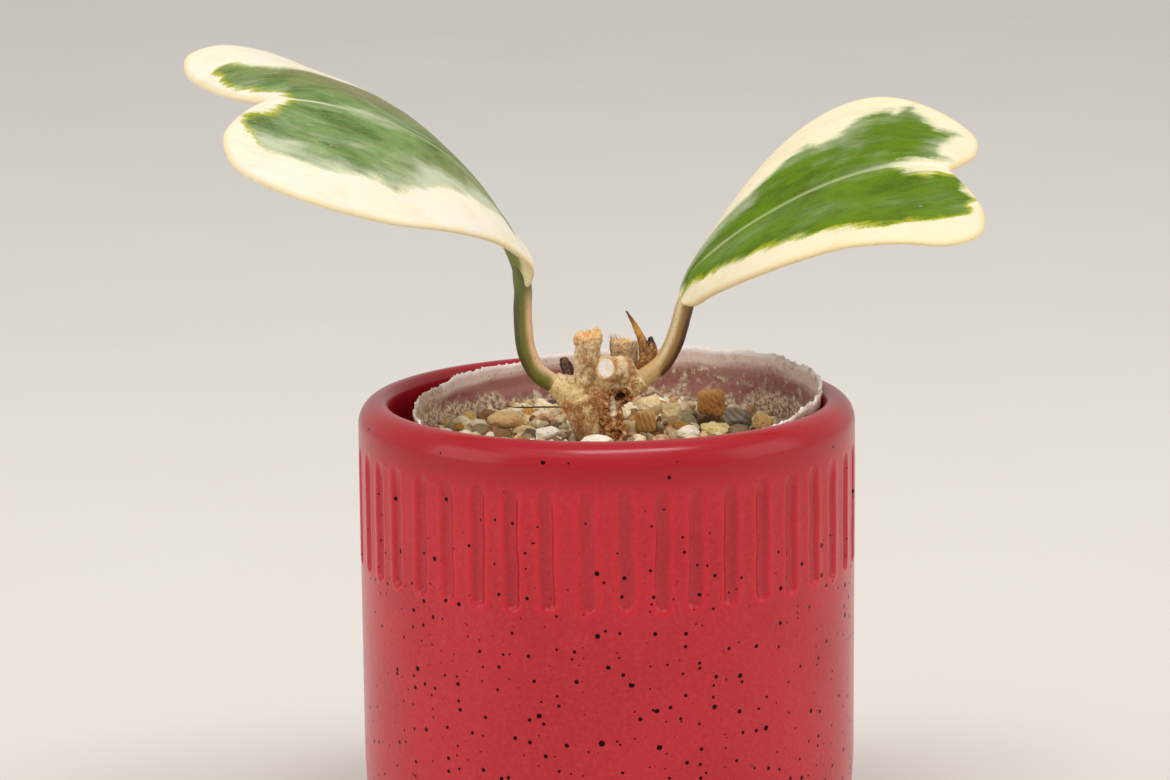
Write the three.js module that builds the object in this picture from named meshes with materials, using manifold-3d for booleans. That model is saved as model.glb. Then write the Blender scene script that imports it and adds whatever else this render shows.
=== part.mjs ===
// A sweetheart hoya cutting: one woody stem with two heart-shaped leaves, rooted in a cut-down
// plastic nursery cup filled with grit, and the cup stands inside a fluted ceramic cover pot.
// Units are millimetres and +Z is up. The origin is the centre of the pot's flat foot.
// The leaves spread along X, and the side that a viewer sees first faces -Y.

import * as THREE from 'three';
import { mergeVertices } from 'three/addons/utils/BufferGeometryUtils.js';
import Module from 'manifold-3d';

const wasm = await Module();
wasm.setup();

// Clearance kept between pieces that touch on curved or cut faces
const GAP = 0.3;

// Ceramic cover pot
const POT_RADIUS = 52.5;
const POT_HEIGHT = 100;
const POT_WALL = 6;
const POT_FLOOR = 7;
const POT_SEGMENTS = 64;
const POT_CURVE_STEPS = 3;
const FOOT_RADIUS = 46;
const HEEL_RADIUS = 51.2;
const HEEL_HEIGHT = 6;
const HEEL_TUCK = 0.6;
const BELLY_START = 18;
const BELLY_HEIGHT = 26;
const RIM_ROUND = 2.6;
const INNER_TAPER = 1;
const INNER_CORNER = 5;
const INNER_FLOOR_RADIUS = 43;

// Pressed flutes around the pot's shoulder
const FLUTE_COUNT = 43;
const FLUTE_START = THREE.MathUtils.degToRad(5.6);
const FLUTE_WIDTH = 3.4;
const FLUTE_DEPTH = 0.7;
const FLUTE_TOP = 92.1;
const FLUTE_LENGTH = 25.5;
const FLUTE_WANDER = 0.12;
const FLUTE_DEPTH_SPREAD = 0.3;
const FLUTE_LEAN = 0.03;
const FLUTE_DROP = 0.5;
const FLUTE_SIDES = 12;
const FLUTE_CAP_RINGS = 2;

// Thin plastic nursery cup, cut down by hand so that its edge is uneven
const CUP_SHIFT_X = 2.3;
const CUP_BASE_RADIUS = 33;
const CUP_TOP_RADIUS = 43.2;
const CUP_WALL = 0.8;
const CUP_EDGE_HEIGHT = 99.8;
const CUP_SEGMENTS = 50;
const CUP_CUT_START = 92;
const CUP_CUT_RIGHT = 2.5;
const CUP_CUT_BACK = 2.6;
const CUP_CUT_SADDLE = 0.5;
const CUP_NICKS = [{ depth: 0.22, count: 11 }, { depth: 0.16, count: 23 }];
const CUP_BEAD_FOOT = 94.4;
const CUP_BEAD_HEIGHT = 0.9;
const CUP_BEAD_PROUD = 0.35;
const CUP_DRAIN_RADIUS = 3;
const CUP_DRAIN_SIDES = 10;
const CUP_DRAIN_RING = 20;
const CUP_DRAIN_COUNT = 6;

// Potting mix and the grit over it. Each grit stone is drawn between the small and the large half
// length, more often small, is flatter than it is long, and lies tilted a little.
const FILL_SEGMENTS = 48;
const MIX_TOP = 84;
const GRIT_TOP = 90.6;
const GRIT_STONES = 98;
const GRIT_TRIES = 6000;
const GRIT_SMALL = 2.8;
const GRIT_LARGE = 4.3;
const GRIT_SMALL_BIAS = 1.6;
const GRIT_SPACING = 0.78;
const GRIT_EDGE_SPACE = 1.12;
const GRIT_RISE = 0.12;
const GRIT_SHAPE = { width: 0.85, height: 0.62 };
const GRIT_TILT = 0.3;

// Leaf blades, which are thick and fleshy
const BLADE_MIDDLE = 2.6;
const BLADE_EDGE = 1.3;
const BLADE_ROWS = 20;
const BLADE_CROWDING = 0.07;
const BLADE_SWELL_POWER = 0.7;
const BLADE_STATIONS = [0, 0.25, 0.5, 0.75, 0.94, 1];

// Leaf stalks, a little thicker at the stem than at the blade
const STALK_RADIUS = 1.9;
const STALK_TAPER = 0.08;
const STALK_SIDES = 10;
const STALK_STEPS = 15;

// Repeatable numbers between 0 and 1
function seeded(seed) {
  let state = seed;
  return () => {
    state = (state * 1664525 + 1013904223) % 4294967296;
    return state / 4294967296;
  };
}

function vector([x, y, z]) {
  return new THREE.Vector3(x, y, z);
}

function curveThrough(points) {
  return new THREE.CatmullRomCurve3(points.map(vector), false, 'centripetal');
}

// Closed mesh with shared vertices, ready to be joined or cut
function solidFrom(geometry) {
  const bare = geometry.clone();
  bare.deleteAttribute('normal');
  bare.deleteAttribute('uv');
  const merged = mergeVertices(bare, 1e-4);
  const index = merged.index.array;
  const corners = [];
  for (let i = 0; i < index.length; i += 3) {
    const [a, b, c] = [index[i], index[i + 1], index[i + 2]];
    if (a !== b && b !== c && c !== a) {
      corners.push(a, b, c);
    }
  }
  return new wasm.Manifold(new wasm.Mesh({
    numProp: 3,
    vertProperties: new Float32Array(merged.attributes.position.array),
    triVerts: new Uint32Array(corners),
  }));
}

function geometryFrom(solid) {
  const mesh = solid.getMesh();
  const geometry = new THREE.BufferGeometry();
  geometry.setAttribute('position', new THREE.BufferAttribute(mesh.vertProperties, 3));
  geometry.setIndex(new THREE.BufferAttribute(mesh.triVerts, 1));
  geometry.computeVertexNormals();
  return geometry;
}

function joined(solids) {
  return solids.reduce((whole, solid) => whole.add(solid));
}

// Round body from a profile of [radius, height] points or a path, turned about Z
function turned(profile, segments) {
  return new THREE.LatheGeometry(profile, segments).rotateX(Math.PI / 2);
}

// Round body along a curve. radiusAt(u, angle) is its radius, tipShift(angle) slants its end, and
// grow makes it larger all round and at both ends.
function limb(points, radiusAt, sides, steps, { grow = 0, tipShift = () => 0 } = {}) {
  const curve = curveThrough(points);
  const frames = curve.computeFrenetFrames(steps, false);
  const positions = [];
  for (let i = 0; i <= steps; i += 1) {
    const centre = curve.getPointAt(i / steps);
    for (let k = 0; k < sides; k += 1) {
      const angle = (2 * Math.PI * k) / sides;
      const radius = radiusAt(i / steps, angle) + grow;
      const corner = centre.clone();
      corner.addScaledVector(frames.normals[i], radius * Math.cos(angle));
      corner.addScaledVector(frames.binormals[i], radius * Math.sin(angle));
      if (i === 0) {
        corner.addScaledVector(frames.tangents[i], -grow);
      }
      if (i === steps) {
        corner.addScaledVector(frames.tangents[i], grow + tipShift(angle));
      }
      positions.push(corner.x, corner.y, corner.z);
    }
  }
  const index = [];
  for (let k = 0; k < sides; k += 1) {
    const next = (k + 1) % sides;
    for (let i = 0; i < steps; i += 1) {
      const low = i * sides;
      const high = low + sides;
      index.push(low + k, low + next, high + next, low + k, high + next, high + k);
    }
  }
  for (const [ring, turn] of [[0, -1], [steps, 1]]) {
    const centre = new THREE.Vector3();
    for (let k = 0; k < sides; k += 1) {
      centre.add(new THREE.Vector3().fromArray(positions, 3 * (ring * sides + k)));
    }
    centre.divideScalar(sides);
    const hub = positions.length / 3;
    positions.push(centre.x, centre.y, centre.z);
    for (let k = 0; k < sides; k += 1) {
      const a = ring * sides + k;
      const b = ring * sides + ((k + 1) % sides);
      index.push(hub, turn > 0 ? a : b, turn > 0 ? b : a);
    }
  }
  const geometry = new THREE.BufferGeometry();
  geometry.setAttribute('position', new THREE.Float32BufferAttribute(positions, 3));
  geometry.setIndex(index);
  return geometry;
}

// Angular pebble: a rounded polyhedron with its corners moved in and out
function pebble({ at, half, turn = [0, 0, 0], seed, detail = 0, rough = 0.2 }, grow = 0) {
  const random = seeded(seed);
  const ball = new THREE.IcosahedronGeometry(1, detail);
  ball.deleteAttribute('normal');
  ball.deleteAttribute('uv');
  const geometry = mergeVertices(ball, 1e-4);
  const position = geometry.attributes.position;
  const spin = new THREE.Quaternion().setFromEuler(new THREE.Euler(...turn));
  for (let i = 0; i < position.count; i += 1) {
    const corner = new THREE.Vector3().fromBufferAttribute(position, i);
    corner.multiplyScalar(1 + rough * (random() - 0.5));
    corner.multiply(vector(half));
    corner.setLength(corner.length() + grow);
    corner.applyQuaternion(spin).add(vector(at));
    position.setXYZ(i, corner.x, corner.y, corner.z);
  }
  return geometry;
}

// Pot: a straight cylinder with a rounded rim and a heel that curves in to the flat foot
function makePot() {
  const innerRadius = POT_RADIUS - POT_WALL - INNER_TAPER;
  const rimMiddle = POT_RADIUS - POT_WALL / 2;
  const profile = new THREE.Path();
  profile.moveTo(0, 0);
  profile.lineTo(FOOT_RADIUS, 0);
  profile.quadraticCurveTo(HEEL_RADIUS - HEEL_TUCK, 0, HEEL_RADIUS, HEEL_HEIGHT);
  profile.quadraticCurveTo(POT_RADIUS, BELLY_START, POT_RADIUS, BELLY_HEIGHT);
  profile.absellipse(rimMiddle, POT_HEIGHT - RIM_ROUND, POT_WALL / 2, RIM_ROUND, 0, Math.PI, false, 0);
  profile.lineTo(innerRadius, POT_FLOOR + INNER_CORNER);
  profile.quadraticCurveTo(innerRadius, POT_FLOOR, INNER_FLOOR_RADIUS, POT_FLOOR);
  profile.lineTo(0, POT_FLOOR);
  const body = solidFrom(turned(profile.getPoints(POT_CURVE_STEPS), POT_SEGMENTS));

  const half = FLUTE_WIDTH / 2;
  const toolRadius = (half * half + FLUTE_DEPTH * FLUTE_DEPTH) / (2 * FLUTE_DEPTH);
  const toolLength = FLUTE_LENGTH - 2 * half;
  const random = seeded(7);
  const flutes = [];
  for (let k = 0; k < FLUTE_COUNT; k += 1) {
    const place = k + FLUTE_WANDER * (random() - 0.5);
    const angle = FLUTE_START + (2 * Math.PI * place) / FLUTE_COUNT;
    const depth = FLUTE_DEPTH * (1 + FLUTE_DEPTH_SPREAD * (random() - 0.5));
    const reach = POT_RADIUS - depth + toolRadius;
    const tool = new THREE.CapsuleGeometry(toolRadius, toolLength, FLUTE_CAP_RINGS, FLUTE_SIDES);
    tool.rotateX(Math.PI / 2);
    tool.rotateX(FLUTE_LEAN * (random() - 0.5));
    tool.translate(reach, 0, FLUTE_TOP - FLUTE_LENGTH / 2 + FLUTE_DROP * (random() - 0.5));
    tool.rotateZ(angle);
    flutes.push(solidFrom(tool));
  }
  return geometryFrom(body.subtract(joined(flutes)));
}

// Outer radius of the tapered nursery cup at a height
function cupRadius(height) {
  const climb = (height - POT_FLOOR) / (CUP_EDGE_HEIGHT - POT_FLOOR);
  return CUP_BASE_RADIUS + (CUP_TOP_RADIUS - CUP_BASE_RADIUS) * climb;
}

// Height of the hand-cut edge above or below its mean, by direction around the cup: higher at the
// right and the back, with small nicks
function cupEdgeLift(angle) {
  const slope = CUP_CUT_RIGHT * Math.cos(angle) + CUP_CUT_BACK * Math.sin(angle);
  const saddle = CUP_CUT_SADDLE * Math.cos(2 * angle);
  const nicks = CUP_NICKS.reduce((sum, { depth, count }) => sum + depth * Math.sin(count * angle), 0);
  return slope + saddle + nicks;
}

function makeCup() {
  const beadTop = CUP_BEAD_FOOT + CUP_BEAD_HEIGHT;
  const beadMiddle = CUP_BEAD_FOOT + CUP_BEAD_HEIGHT / 2;
  const outer = [
    [0, POT_FLOOR],
    [CUP_BASE_RADIUS, POT_FLOOR],
    [cupRadius(CUP_BEAD_FOOT), CUP_BEAD_FOOT],
    [cupRadius(beadMiddle) + CUP_BEAD_PROUD, beadMiddle],
    [cupRadius(beadTop), beadTop],
    [CUP_TOP_RADIUS, CUP_EDGE_HEIGHT],
  ];
  const inner = [
    [CUP_TOP_RADIUS - CUP_WALL, CUP_EDGE_HEIGHT],
    [cupRadius(CUP_BEAD_FOOT) - CUP_WALL, CUP_BEAD_FOOT],
    [CUP_BASE_RADIUS - CUP_WALL, POT_FLOOR + CUP_WALL],
    [0, POT_FLOOR + CUP_WALL],
  ];
  const profile = [...outer, ...inner].map(([radius, height]) => new THREE.Vector2(radius, height));
  const shell = turned(profile, CUP_SEGMENTS);
  const position = shell.attributes.position;
  for (let i = 0; i < position.count; i += 1) {
    const height = position.getZ(i);
    const share = (height - CUP_CUT_START) / (CUP_EDGE_HEIGHT - CUP_CUT_START);
    if (share > 0) {
      const angle = Math.atan2(position.getY(i), position.getX(i));
      position.setZ(i, height + share * cupEdgeLift(angle));
    }
  }
  let cup = solidFrom(shell);
  for (let k = 0; k < CUP_DRAIN_COUNT; k += 1) {
    const drain = new THREE.CylinderGeometry(
      CUP_DRAIN_RADIUS,
      CUP_DRAIN_RADIUS,
      4 * CUP_WALL,
      CUP_DRAIN_SIDES,
    );
    drain.rotateX(Math.PI / 2);
    drain.translate(CUP_DRAIN_RING, 0, POT_FLOOR);
    drain.rotateZ((2 * Math.PI * k) / CUP_DRAIN_COUNT);
    cup = cup.subtract(solidFrom(drain));
  }
  return geometryFrom(cup).translate(CUP_SHIFT_X, 0, 0);
}

// Woody stem: the limbs that grew together in it, each with its route, its radii from start to
// end, and how much its cut top slants
const STEM_LIMBS = {
  column: {
    route: [[-1.6, 1.8, 66], [-1.8, 1.5, 80], [-2.4, 1, 89], [-4, 0.6, 94.5], [-6, 0.2, 100.5]],
    radii: [3.4, 5.2, 5, 3.6, 3.9],
  },
  rootCrust: {
    route: [[0.6, 0.6, 84], [1, 0, 91], [0.5, -0.6, 97], [-0.4, -0.4, 103]],
    radii: [3, 2.9, 2.6, 2.4],
  },
  leftArm: {
    route: [[-5.6, 0.2, 98.6], [-8.4, 0, 101.4], [-11.4, -0.4, 103.7]],
    radii: [3.6, 3.1, 2.4],
  },
  leftKnuckle: {
    route: [[-8, 0, 100.5], [-8.5, 0, 103.6]],
    radii: [2.6, 2.4],
  },
  tallStub: {
    route: [[-4.8, 0.3, 98], [-4.2, 0, 105], [-3.7, -0.3, 113.8]],
    radii: [3.3, 2.7, 3],
    slant: 1.1,
  },
  middle: {
    route: [[-3, 0.6, 100.5], [0.5, 0.8, 103.5], [3.6, 0.8, 104.8]],
    radii: [3.2, 3, 2.8],
  },
  cutStub: {
    route: [[4.4, 1.6, 105], [2.4, -1.4, 106.3], [-0.2, -5.4, 107.6]],
    radii: [2.8, 3, 2.15],
  },
  backStub: {
    route: [[2.6, 2.2, 102], [3.7, 3.8, 107], [3.9, 4.2, 111.6]],
    radii: [2.8, 2.9, 3.05],
    slant: 0.6,
  },
  rightArm: {
    route: [[0, 0.8, 100.8], [3.8, 0.6, 101.9], [8, 0.2, 104.2]],
    radii: [3, 2.9, 2.3],
  },
};
const STEM_SIDES = 9;
const STEM_STEPS = 5;
const STEM_KNOTS = 0.05;

// Value at u from 0 to 1 along a list of values
function between(values, u) {
  const place = u * (values.length - 1);
  const low = Math.min(Math.floor(place), values.length - 2);
  return values[low] + (values[low + 1] - values[low]) * (place - low);
}

function stemSolid(grow) {
  const random = seeded(31);
  const limbs = Object.values(STEM_LIMBS).map(({ route, radii, slant = 0 }) => {
    const phase = 2 * Math.PI * random();
    const radiusAt = (u, angle) => {
      const knots = Math.sin(3 * angle + phase) + Math.sin(5 * angle + 7 * u);
      return between(radii, u) * (1 + STEM_KNOTS * knots);
    };
    const tipShift = (angle) => slant * Math.cos(angle);
    return solidFrom(limb(route, radiusAt, STEM_SIDES, STEM_STEPS, { grow, tipShift }));
  });
  return joined(limbs);
}

// Leaf stalks, from their sockets in the stem to the foot of each blade
const STALKS = {
  left: [
    [-9.9, -0.3, 102.9], [-11.6, -0.3, 103.6], [-14.6, 0, 105.8], [-16.5, 0, 109.5],
    [-17.3, 0, 114], [-17.5, 0, 119], [-17.3, 0, 123.9],
  ],
  right: [
    [7, 0.2, 103.6], [8.6, 0.2, 104.7], [11.7, 0, 107.2], [13.7, 0, 110.3],
    [15.2, 0, 114.3], [16.65, 0.2, 119.6],
  ],
};

function stalkSolid(route, grow) {
  const radiusAt = (u) => STALK_RADIUS * (1 + STALK_TAPER * (1 - u));
  return solidFrom(limb(route, radiusAt, STALK_SIDES, STALK_STEPS, { grow }));
}

// Heart-shaped blades. Each is stretched between its midrib, from the stalk to the notch,
// and its two margins, which start at the stalk, round the lobes and meet in the notch.
const BLADES = {
  left: {
    midrib: [
      [-17.5, -0.2, 124.5], [-19.3, 0.6, 131.8], [-25.5, 3.4, 142.6], [-35.4, 4.5, 152],
      [-47.1, 3.5, 158.6], [-58.5, 1.5, 162.1], [-70, -0.5, 163.3],
    ],
    near: [
      [-16.2, -1.9, 124.2], [-15.4, -3.6, 128.2], [-21.6, -10, 134.7], [-31.6, -17.5, 138.9],
      [-44.1, -22.3, 141.5], [-58.2, -23.8, 145.6], [-69.4, -21.3, 149.5], [-76.3, -17, 153.2],
      [-78.4, -12.5, 158.2], [-75.2, -7, 161.8], [-70, -0.5, 163.3],
    ],
    far: [
      [-16.4, 1.6, 124.2], [-15.6, 3, 129], [-20.8, 9.5, 135], [-29.7, 19, 142.4],
      [-42.2, 26.5, 153.5], [-51.2, 28.5, 161.3], [-63.7, 27, 166.9], [-74, 23.5, 171.4],
      [-82.6, 19, 173], [-88.4, 13.8, 171.2], [-87.6, 9.8, 167.8], [-80.5, 5.2, 164.6],
      [-70, -0.5, 163.3],
    ],
    camber: { near: 2.2, far: 1.4 },
  },
  right: {
    midrib: [
      [16.9, -0.4, 120.9], [18.9, 0.5, 126], [24.5, 0.9, 131.2], [36.3, 1, 139.1],
      [48.3, 0.4, 145], [60.5, -0.5, 148.5], [71.9, -1.5, 147.9],
    ],
    near: [
      [17.7, -2.4, 120.2], [22.4, -8, 123.4], [30.9, -14, 128.3], [40.2, -18.7, 132.5],
      [49.5, -21.5, 135.5], [60, -22.6, 136.5], [70.6, -21.3, 135.8], [77.4, -17.5, 137.5],
      [78.3, -13.5, 140.9], [76.3, -8.3, 144.1], [71.9, -1.5, 147.9],
    ],
    far: [
      [15.3, 1.2, 120.5], [17, 4, 124.6], [24.5, 12, 135.4], [34.5, 18, 147.2],
      [44.4, 20.9, 155.4], [54.3, 21, 159.9], [62.5, 19, 160.6], [71.9, 14.4, 157.8],
      [78.4, 8, 153.2], [77.8, 3.6, 150.3], [71.9, -1.5, 147.9],
    ],
    camber: { near: 1.6, far: 1.2 },
  },
};

// Rows run from the foot of the blade to the notch, closer together at both ends
function bladeRow(i) {
  const even = i / BLADE_ROWS;
  return even - (BLADE_CROWDING * Math.sin(2 * Math.PI * even)) / Math.PI;
}

function makeBlade({ midrib, near, far, camber }) {
  const spine = curveThrough(midrib);
  const margins = { near: curveThrough(near), far: curveThrough(far) };
  const last = BLADE_STATIONS.length - 1;
  const columns = 2 * last + 1;

  // Middle surface of the blade, row by row from the near margin to the far one
  const middle = [];
  for (let i = 0; i <= BLADE_ROWS; i += 1) {
    const u = bladeRow(i);
    const onSpine = spine.getPointAt(u);
    const along = spine.getTangentAt(u);
    for (let j = -last; j <= last; j += 1) {
      const side = j < 0 ? 'near' : 'far';
      const across = BLADE_STATIONS[Math.abs(j)];
      const point = onSpine.clone().lerp(margins[side].getPointAt(u), across);
      const width = margins.far.getPointAt(u).sub(margins.near.getPointAt(u));
      const up = along.clone().cross(width);
      if (up.z < 0) {
        up.negate();
      }
      up.normalize();
      const swell = Math.sin(Math.PI * across) * Math.sin(Math.PI * u) ** BLADE_SWELL_POWER;
      point.addScaledVector(up, camber[side] * swell);
      middle.push(point.x, point.y, point.z);
    }
  }
  const cells = [];
  for (let i = 0; i < BLADE_ROWS; i += 1) {
    for (let j = 0; j < columns - 1; j += 1) {
      const a = i * columns + j;
      cells.push([a, a + 1, a + columns + 1], [a, a + columns + 1, a + columns]);
    }
  }
  const sheet = new THREE.BufferGeometry();
  sheet.setAttribute('position', new THREE.Float32BufferAttribute(middle, 3));
  sheet.setIndex(cells.flat());
  sheet.computeVertexNormals();

  // The two faces share the margin, and the foot is closed by a blunt end
  const notch = BLADE_ROWS * columns;
  const positions = [];
  const faces = [1, -1].map((side) => {
    const first = positions.length / 3;
    for (let n = 0; n < (BLADE_ROWS + 1) * columns; n += 1) {
      const row = Math.floor(n / columns);
      const across = BLADE_STATIONS[Math.abs((n % columns) - last)];
      const onMargin = across === 1 || row === BLADE_ROWS;
      const thick = onMargin ? 0 : BLADE_MIDDLE + (BLADE_EDGE - BLADE_MIDDLE) * across;
      const from = row === BLADE_ROWS ? notch : n;
      const point = new THREE.Vector3().fromArray(middle, 3 * from);
      const normal = new THREE.Vector3().fromBufferAttribute(sheet.attributes.normal, n);
      point.addScaledVector(normal, (side * thick) / 2);
      positions.push(point.x, point.y, point.z);
    }
    return first;
  });
  const index = [];
  for (const [a, b, c] of cells) {
    index.push(faces[0] + a, faces[0] + b, faces[0] + c);
    index.push(faces[1] + a, faces[1] + c, faces[1] + b);
  }
  for (let j = 0; j < columns - 1; j += 1) {
    index.push(faces[0] + j, faces[1] + j, faces[1] + j + 1);
    index.push(faces[0] + j, faces[1] + j + 1, faces[0] + j + 1);
  }
  const geometry = new THREE.BufferGeometry();
  geometry.setAttribute('position', new THREE.Float32BufferAttribute(positions, 3));
  geometry.setIndex(index);
  return geometryFrom(solidFrom(geometry));
}

const TWIG_SIDES = 8;
const TWIG_STEPS = 8;

// Dried shoot in the right leaf's axil: a scaly brown base that narrows to a thorn
const DRIED_SHOOT = {
  route: [[7.6, 2, 105.4], [9, 1.2, 109.4], [8.4, 0.8, 112], [6.6, 0.4, 115.2], [4.3, 0, 118.7]],
  radii: [1.6, 1.8, 1, 0.65, 0.3],
};

// Dark withered stub behind the left leaf's stalk
const DARK_STUB = {
  route: [[-7.2, 2.6, 103.4], [-8.2, 4.2, 105.6], [-8.8, 5.2, 108.8]],
  radii: [1.3, 1.35, 0.9],
};

function twigSolid({ route, radii }, grow) {
  return solidFrom(limb(route, (u) => between(radii, u), TWIG_SIDES, TWIG_STEPS, { grow }));
}

// The larger stones that lie on the grit
const STONES = [
  {
    name: 'stone_tan_long',
    at: [-21.7, 9.5, 93.4],
    half: [3.9, 2.6, 1.9],
    turn: [0, 0.12, 0.1],
    color: 0xd9b685,
  },
  {
    name: 'stone_white_block',
    at: [-12.5, -1.4, 92.6],
    half: [2.8, 2.1, 1.7],
    turn: [0.1, 0.05, -0.2],
    color: 0xefebe2,
  },
  {
    name: 'stone_white_front',
    at: [-2.2, -9.4, 92.3],
    half: [3.6, 2.3, 1.7],
    turn: [0, -0.1, 0.15],
    color: 0xf1ece0,
  },
  {
    name: 'stone_tan_arch',
    at: [9.6, 15.6, 94.4],
    half: [2.8, 2.2, 2.4],
    turn: [0.1, 0.2, 0.4],
    color: 0xd8c09a,
  },
  {
    name: 'stone_cream_fin',
    at: [14, 12.6, 93.6],
    half: [2.1, 1.7, 2.6],
    turn: [0, 0.35, -0.2],
    color: 0xdbc8a2,
  },
  {
    name: 'stone_ochre_chunk',
    at: [8.4, 7.6, 93.2],
    half: [2.3, 1.9, 2.2],
    turn: [0, 0, 0.3],
    color: 0xc79a5a,
  },
  {
    name: 'stone_ochre_block',
    at: [22.4, 16.9, 95.2],
    half: [3.3, 2.8, 3],
    turn: [0.1, 0.1, 0.5],
    color: 0xb08048,
  },
  {
    name: 'stone_grey_banded',
    at: [28.1, 7.1, 93.6],
    half: [3, 2.3, 2.4],
    turn: [0.2, 0.5, 0.1],
    color: 0x8f8a86,
  },
  {
    name: 'stone_white_round',
    at: [17.1, -1.2, 92.6],
    half: [2.7, 2.2, 1.8],
    turn: [0, 0.1, 0.6],
    color: 0xeee6da,
  },
  {
    name: 'stone_yellow_flat',
    at: [23, 1.4, 92.6],
    half: [3.1, 2.2, 1.8],
    turn: [0.1, -0.15, 0.2],
    color: 0xe2c98d,
  },
  {
    name: 'stone_orange_cream',
    at: [33.2, 5.8, 93.2],
    half: [2.4, 2, 2.1],
    turn: [0, 0.3, 0],
    color: 0xd9ad6e,
  },
];

function stoneSpec(stone, k) {
  return { ...stone, seed: 101 + k, detail: 1, rough: 0.16 };
}

// Radius that is free inside the cup at a height
function cupInside(height) {
  return cupRadius(height) - CUP_WALL - GAP;
}

// Plug that fills the cup from one height to another
function filling(bottom, top) {
  const profile = [[0, bottom], [cupInside(bottom), bottom], [cupInside(top), top], [0, top]];
  const corners = profile.map(([radius, height]) => new THREE.Vector2(radius, height));
  return solidFrom(turned(corners, FILL_SEGMENTS).translate(CUP_SHIFT_X, 0, 0));
}

// Potting mix: fills the cup, with a plain hole where the stem stands
function makePottingMix() {
  return geometryFrom(filling(POT_FLOOR + CUP_WALL, MIX_TOP).subtract(stemSolid(GAP)));
}

// Grit: a bed of stones seated close together over the potting mix
function makeGrit() {
  const random = seeded(2024);
  const placed = [];
  for (let k = 0; k < GRIT_TRIES && placed.length < GRIT_STONES; k += 1) {
    const size = GRIT_SMALL + (GRIT_LARGE - GRIT_SMALL) * random() ** GRIT_SMALL_BIAS;
    const reach = (cupInside(GRIT_TOP) - GRIT_EDGE_SPACE * size) * Math.sqrt(random());
    const angle = 2 * Math.PI * random();
    const x = CUP_SHIFT_X + reach * Math.cos(angle);
    const y = reach * Math.sin(angle);
    const free = placed.every((other) => {
      return Math.hypot(other.x - x, other.y - y) > GRIT_SPACING * (other.size + size);
    });
    if (free) {
      placed.push({ x, y, size });
    }
  }
  const stones = placed.map(({ x, y, size }, k) => solidFrom(pebble({
    at: [x, y, GRIT_TOP + GRIT_RISE * size * random()],
    half: [size, size * GRIT_SHAPE.width, size * GRIT_SHAPE.height],
    turn: [GRIT_TILT * (random() - 0.5), GRIT_TILT * (random() - 0.5), 2 * Math.PI * random()],
    seed: 500 + k,
  })));
  let grit = joined([filling(MIX_TOP, GRIT_TOP), ...stones]);
  grit = grit.subtract(stemSolid(GAP));
  STONES.forEach((stone, k) => {
    grit = grit.subtract(solidFrom(pebble(stoneSpec(stone, k), 1.5 * GAP)));
  });
  return geometryFrom(grit);
}

function makeStem() {
  let stem = stemSolid(0);
  for (const route of Object.values(STALKS)) {
    stem = stem.subtract(stalkSolid(route, GAP));
  }
  stem = stem.subtract(twigSolid(DRIED_SHOOT, GAP));
  stem = stem.subtract(twigSolid(DARK_STUB, GAP));
  return geometryFrom(stem);
}

function makeDriedShoot() {
  return geometryFrom(twigSolid(DRIED_SHOOT, 0).subtract(stalkSolid(STALKS.right, GAP)));
}

const hoya = new THREE.Group();

function place(name, geometry, color, roughness) {
  const material = new THREE.MeshStandardMaterial({ color, roughness, metalness: 0 });
  const mesh = new THREE.Mesh(geometry, material);
  mesh.name = name;
  hoya.add(mesh);
}

place('pot', makePot(), 0xb82b38, 0.45);
place('nursery_cup', makeCup(), 0xb59aa2, 0.4);
place('potting_mix', makePottingMix(), 0x6b5643, 0.95);
place('grit_bed', makeGrit(), 0xb9ab94, 0.9);
STONES.forEach((stone, k) => {
  place(stone.name, geometryFrom(solidFrom(pebble(stoneSpec(stone, k)))), stone.color, 0.85);
});
place('woody_stem', makeStem(), 0xb08a5c, 0.85);
for (const side of ['left', 'right']) {
  place(`leaf_stalk_${side}`, geometryFrom(stalkSolid(STALKS[side], 0)), 0x9a8450, 0.6);
  place(`leaf_blade_${side}`, makeBlade(BLADES[side]), 0x4f8a3c, 0.5);
}
place('dried_shoot', makeDriedShoot(), 0x7a4a24, 0.85);
place('dark_stub', geometryFrom(twigSolid(DARK_STUB, 0)), 0x4a2c20, 0.85);

export default hoya;
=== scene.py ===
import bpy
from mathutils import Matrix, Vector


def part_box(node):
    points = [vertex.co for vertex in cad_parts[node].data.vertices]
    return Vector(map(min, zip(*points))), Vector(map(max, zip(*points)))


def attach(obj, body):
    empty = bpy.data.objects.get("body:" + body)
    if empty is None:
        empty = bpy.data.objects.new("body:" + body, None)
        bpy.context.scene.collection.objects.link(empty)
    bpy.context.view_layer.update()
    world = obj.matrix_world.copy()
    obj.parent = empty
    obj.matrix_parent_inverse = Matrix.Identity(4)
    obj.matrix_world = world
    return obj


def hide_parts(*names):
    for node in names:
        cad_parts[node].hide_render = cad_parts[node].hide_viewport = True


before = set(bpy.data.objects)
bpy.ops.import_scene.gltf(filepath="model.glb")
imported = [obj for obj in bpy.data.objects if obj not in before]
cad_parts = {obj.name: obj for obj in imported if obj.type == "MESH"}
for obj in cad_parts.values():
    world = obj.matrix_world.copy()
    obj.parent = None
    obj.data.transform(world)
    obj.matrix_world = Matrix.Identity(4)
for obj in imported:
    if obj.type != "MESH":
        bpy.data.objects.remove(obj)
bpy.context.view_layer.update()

import math
import random

import bpy
import numpy as np
from mathutils import Euler, Matrix, Vector, noise

MM = 0.001


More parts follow.
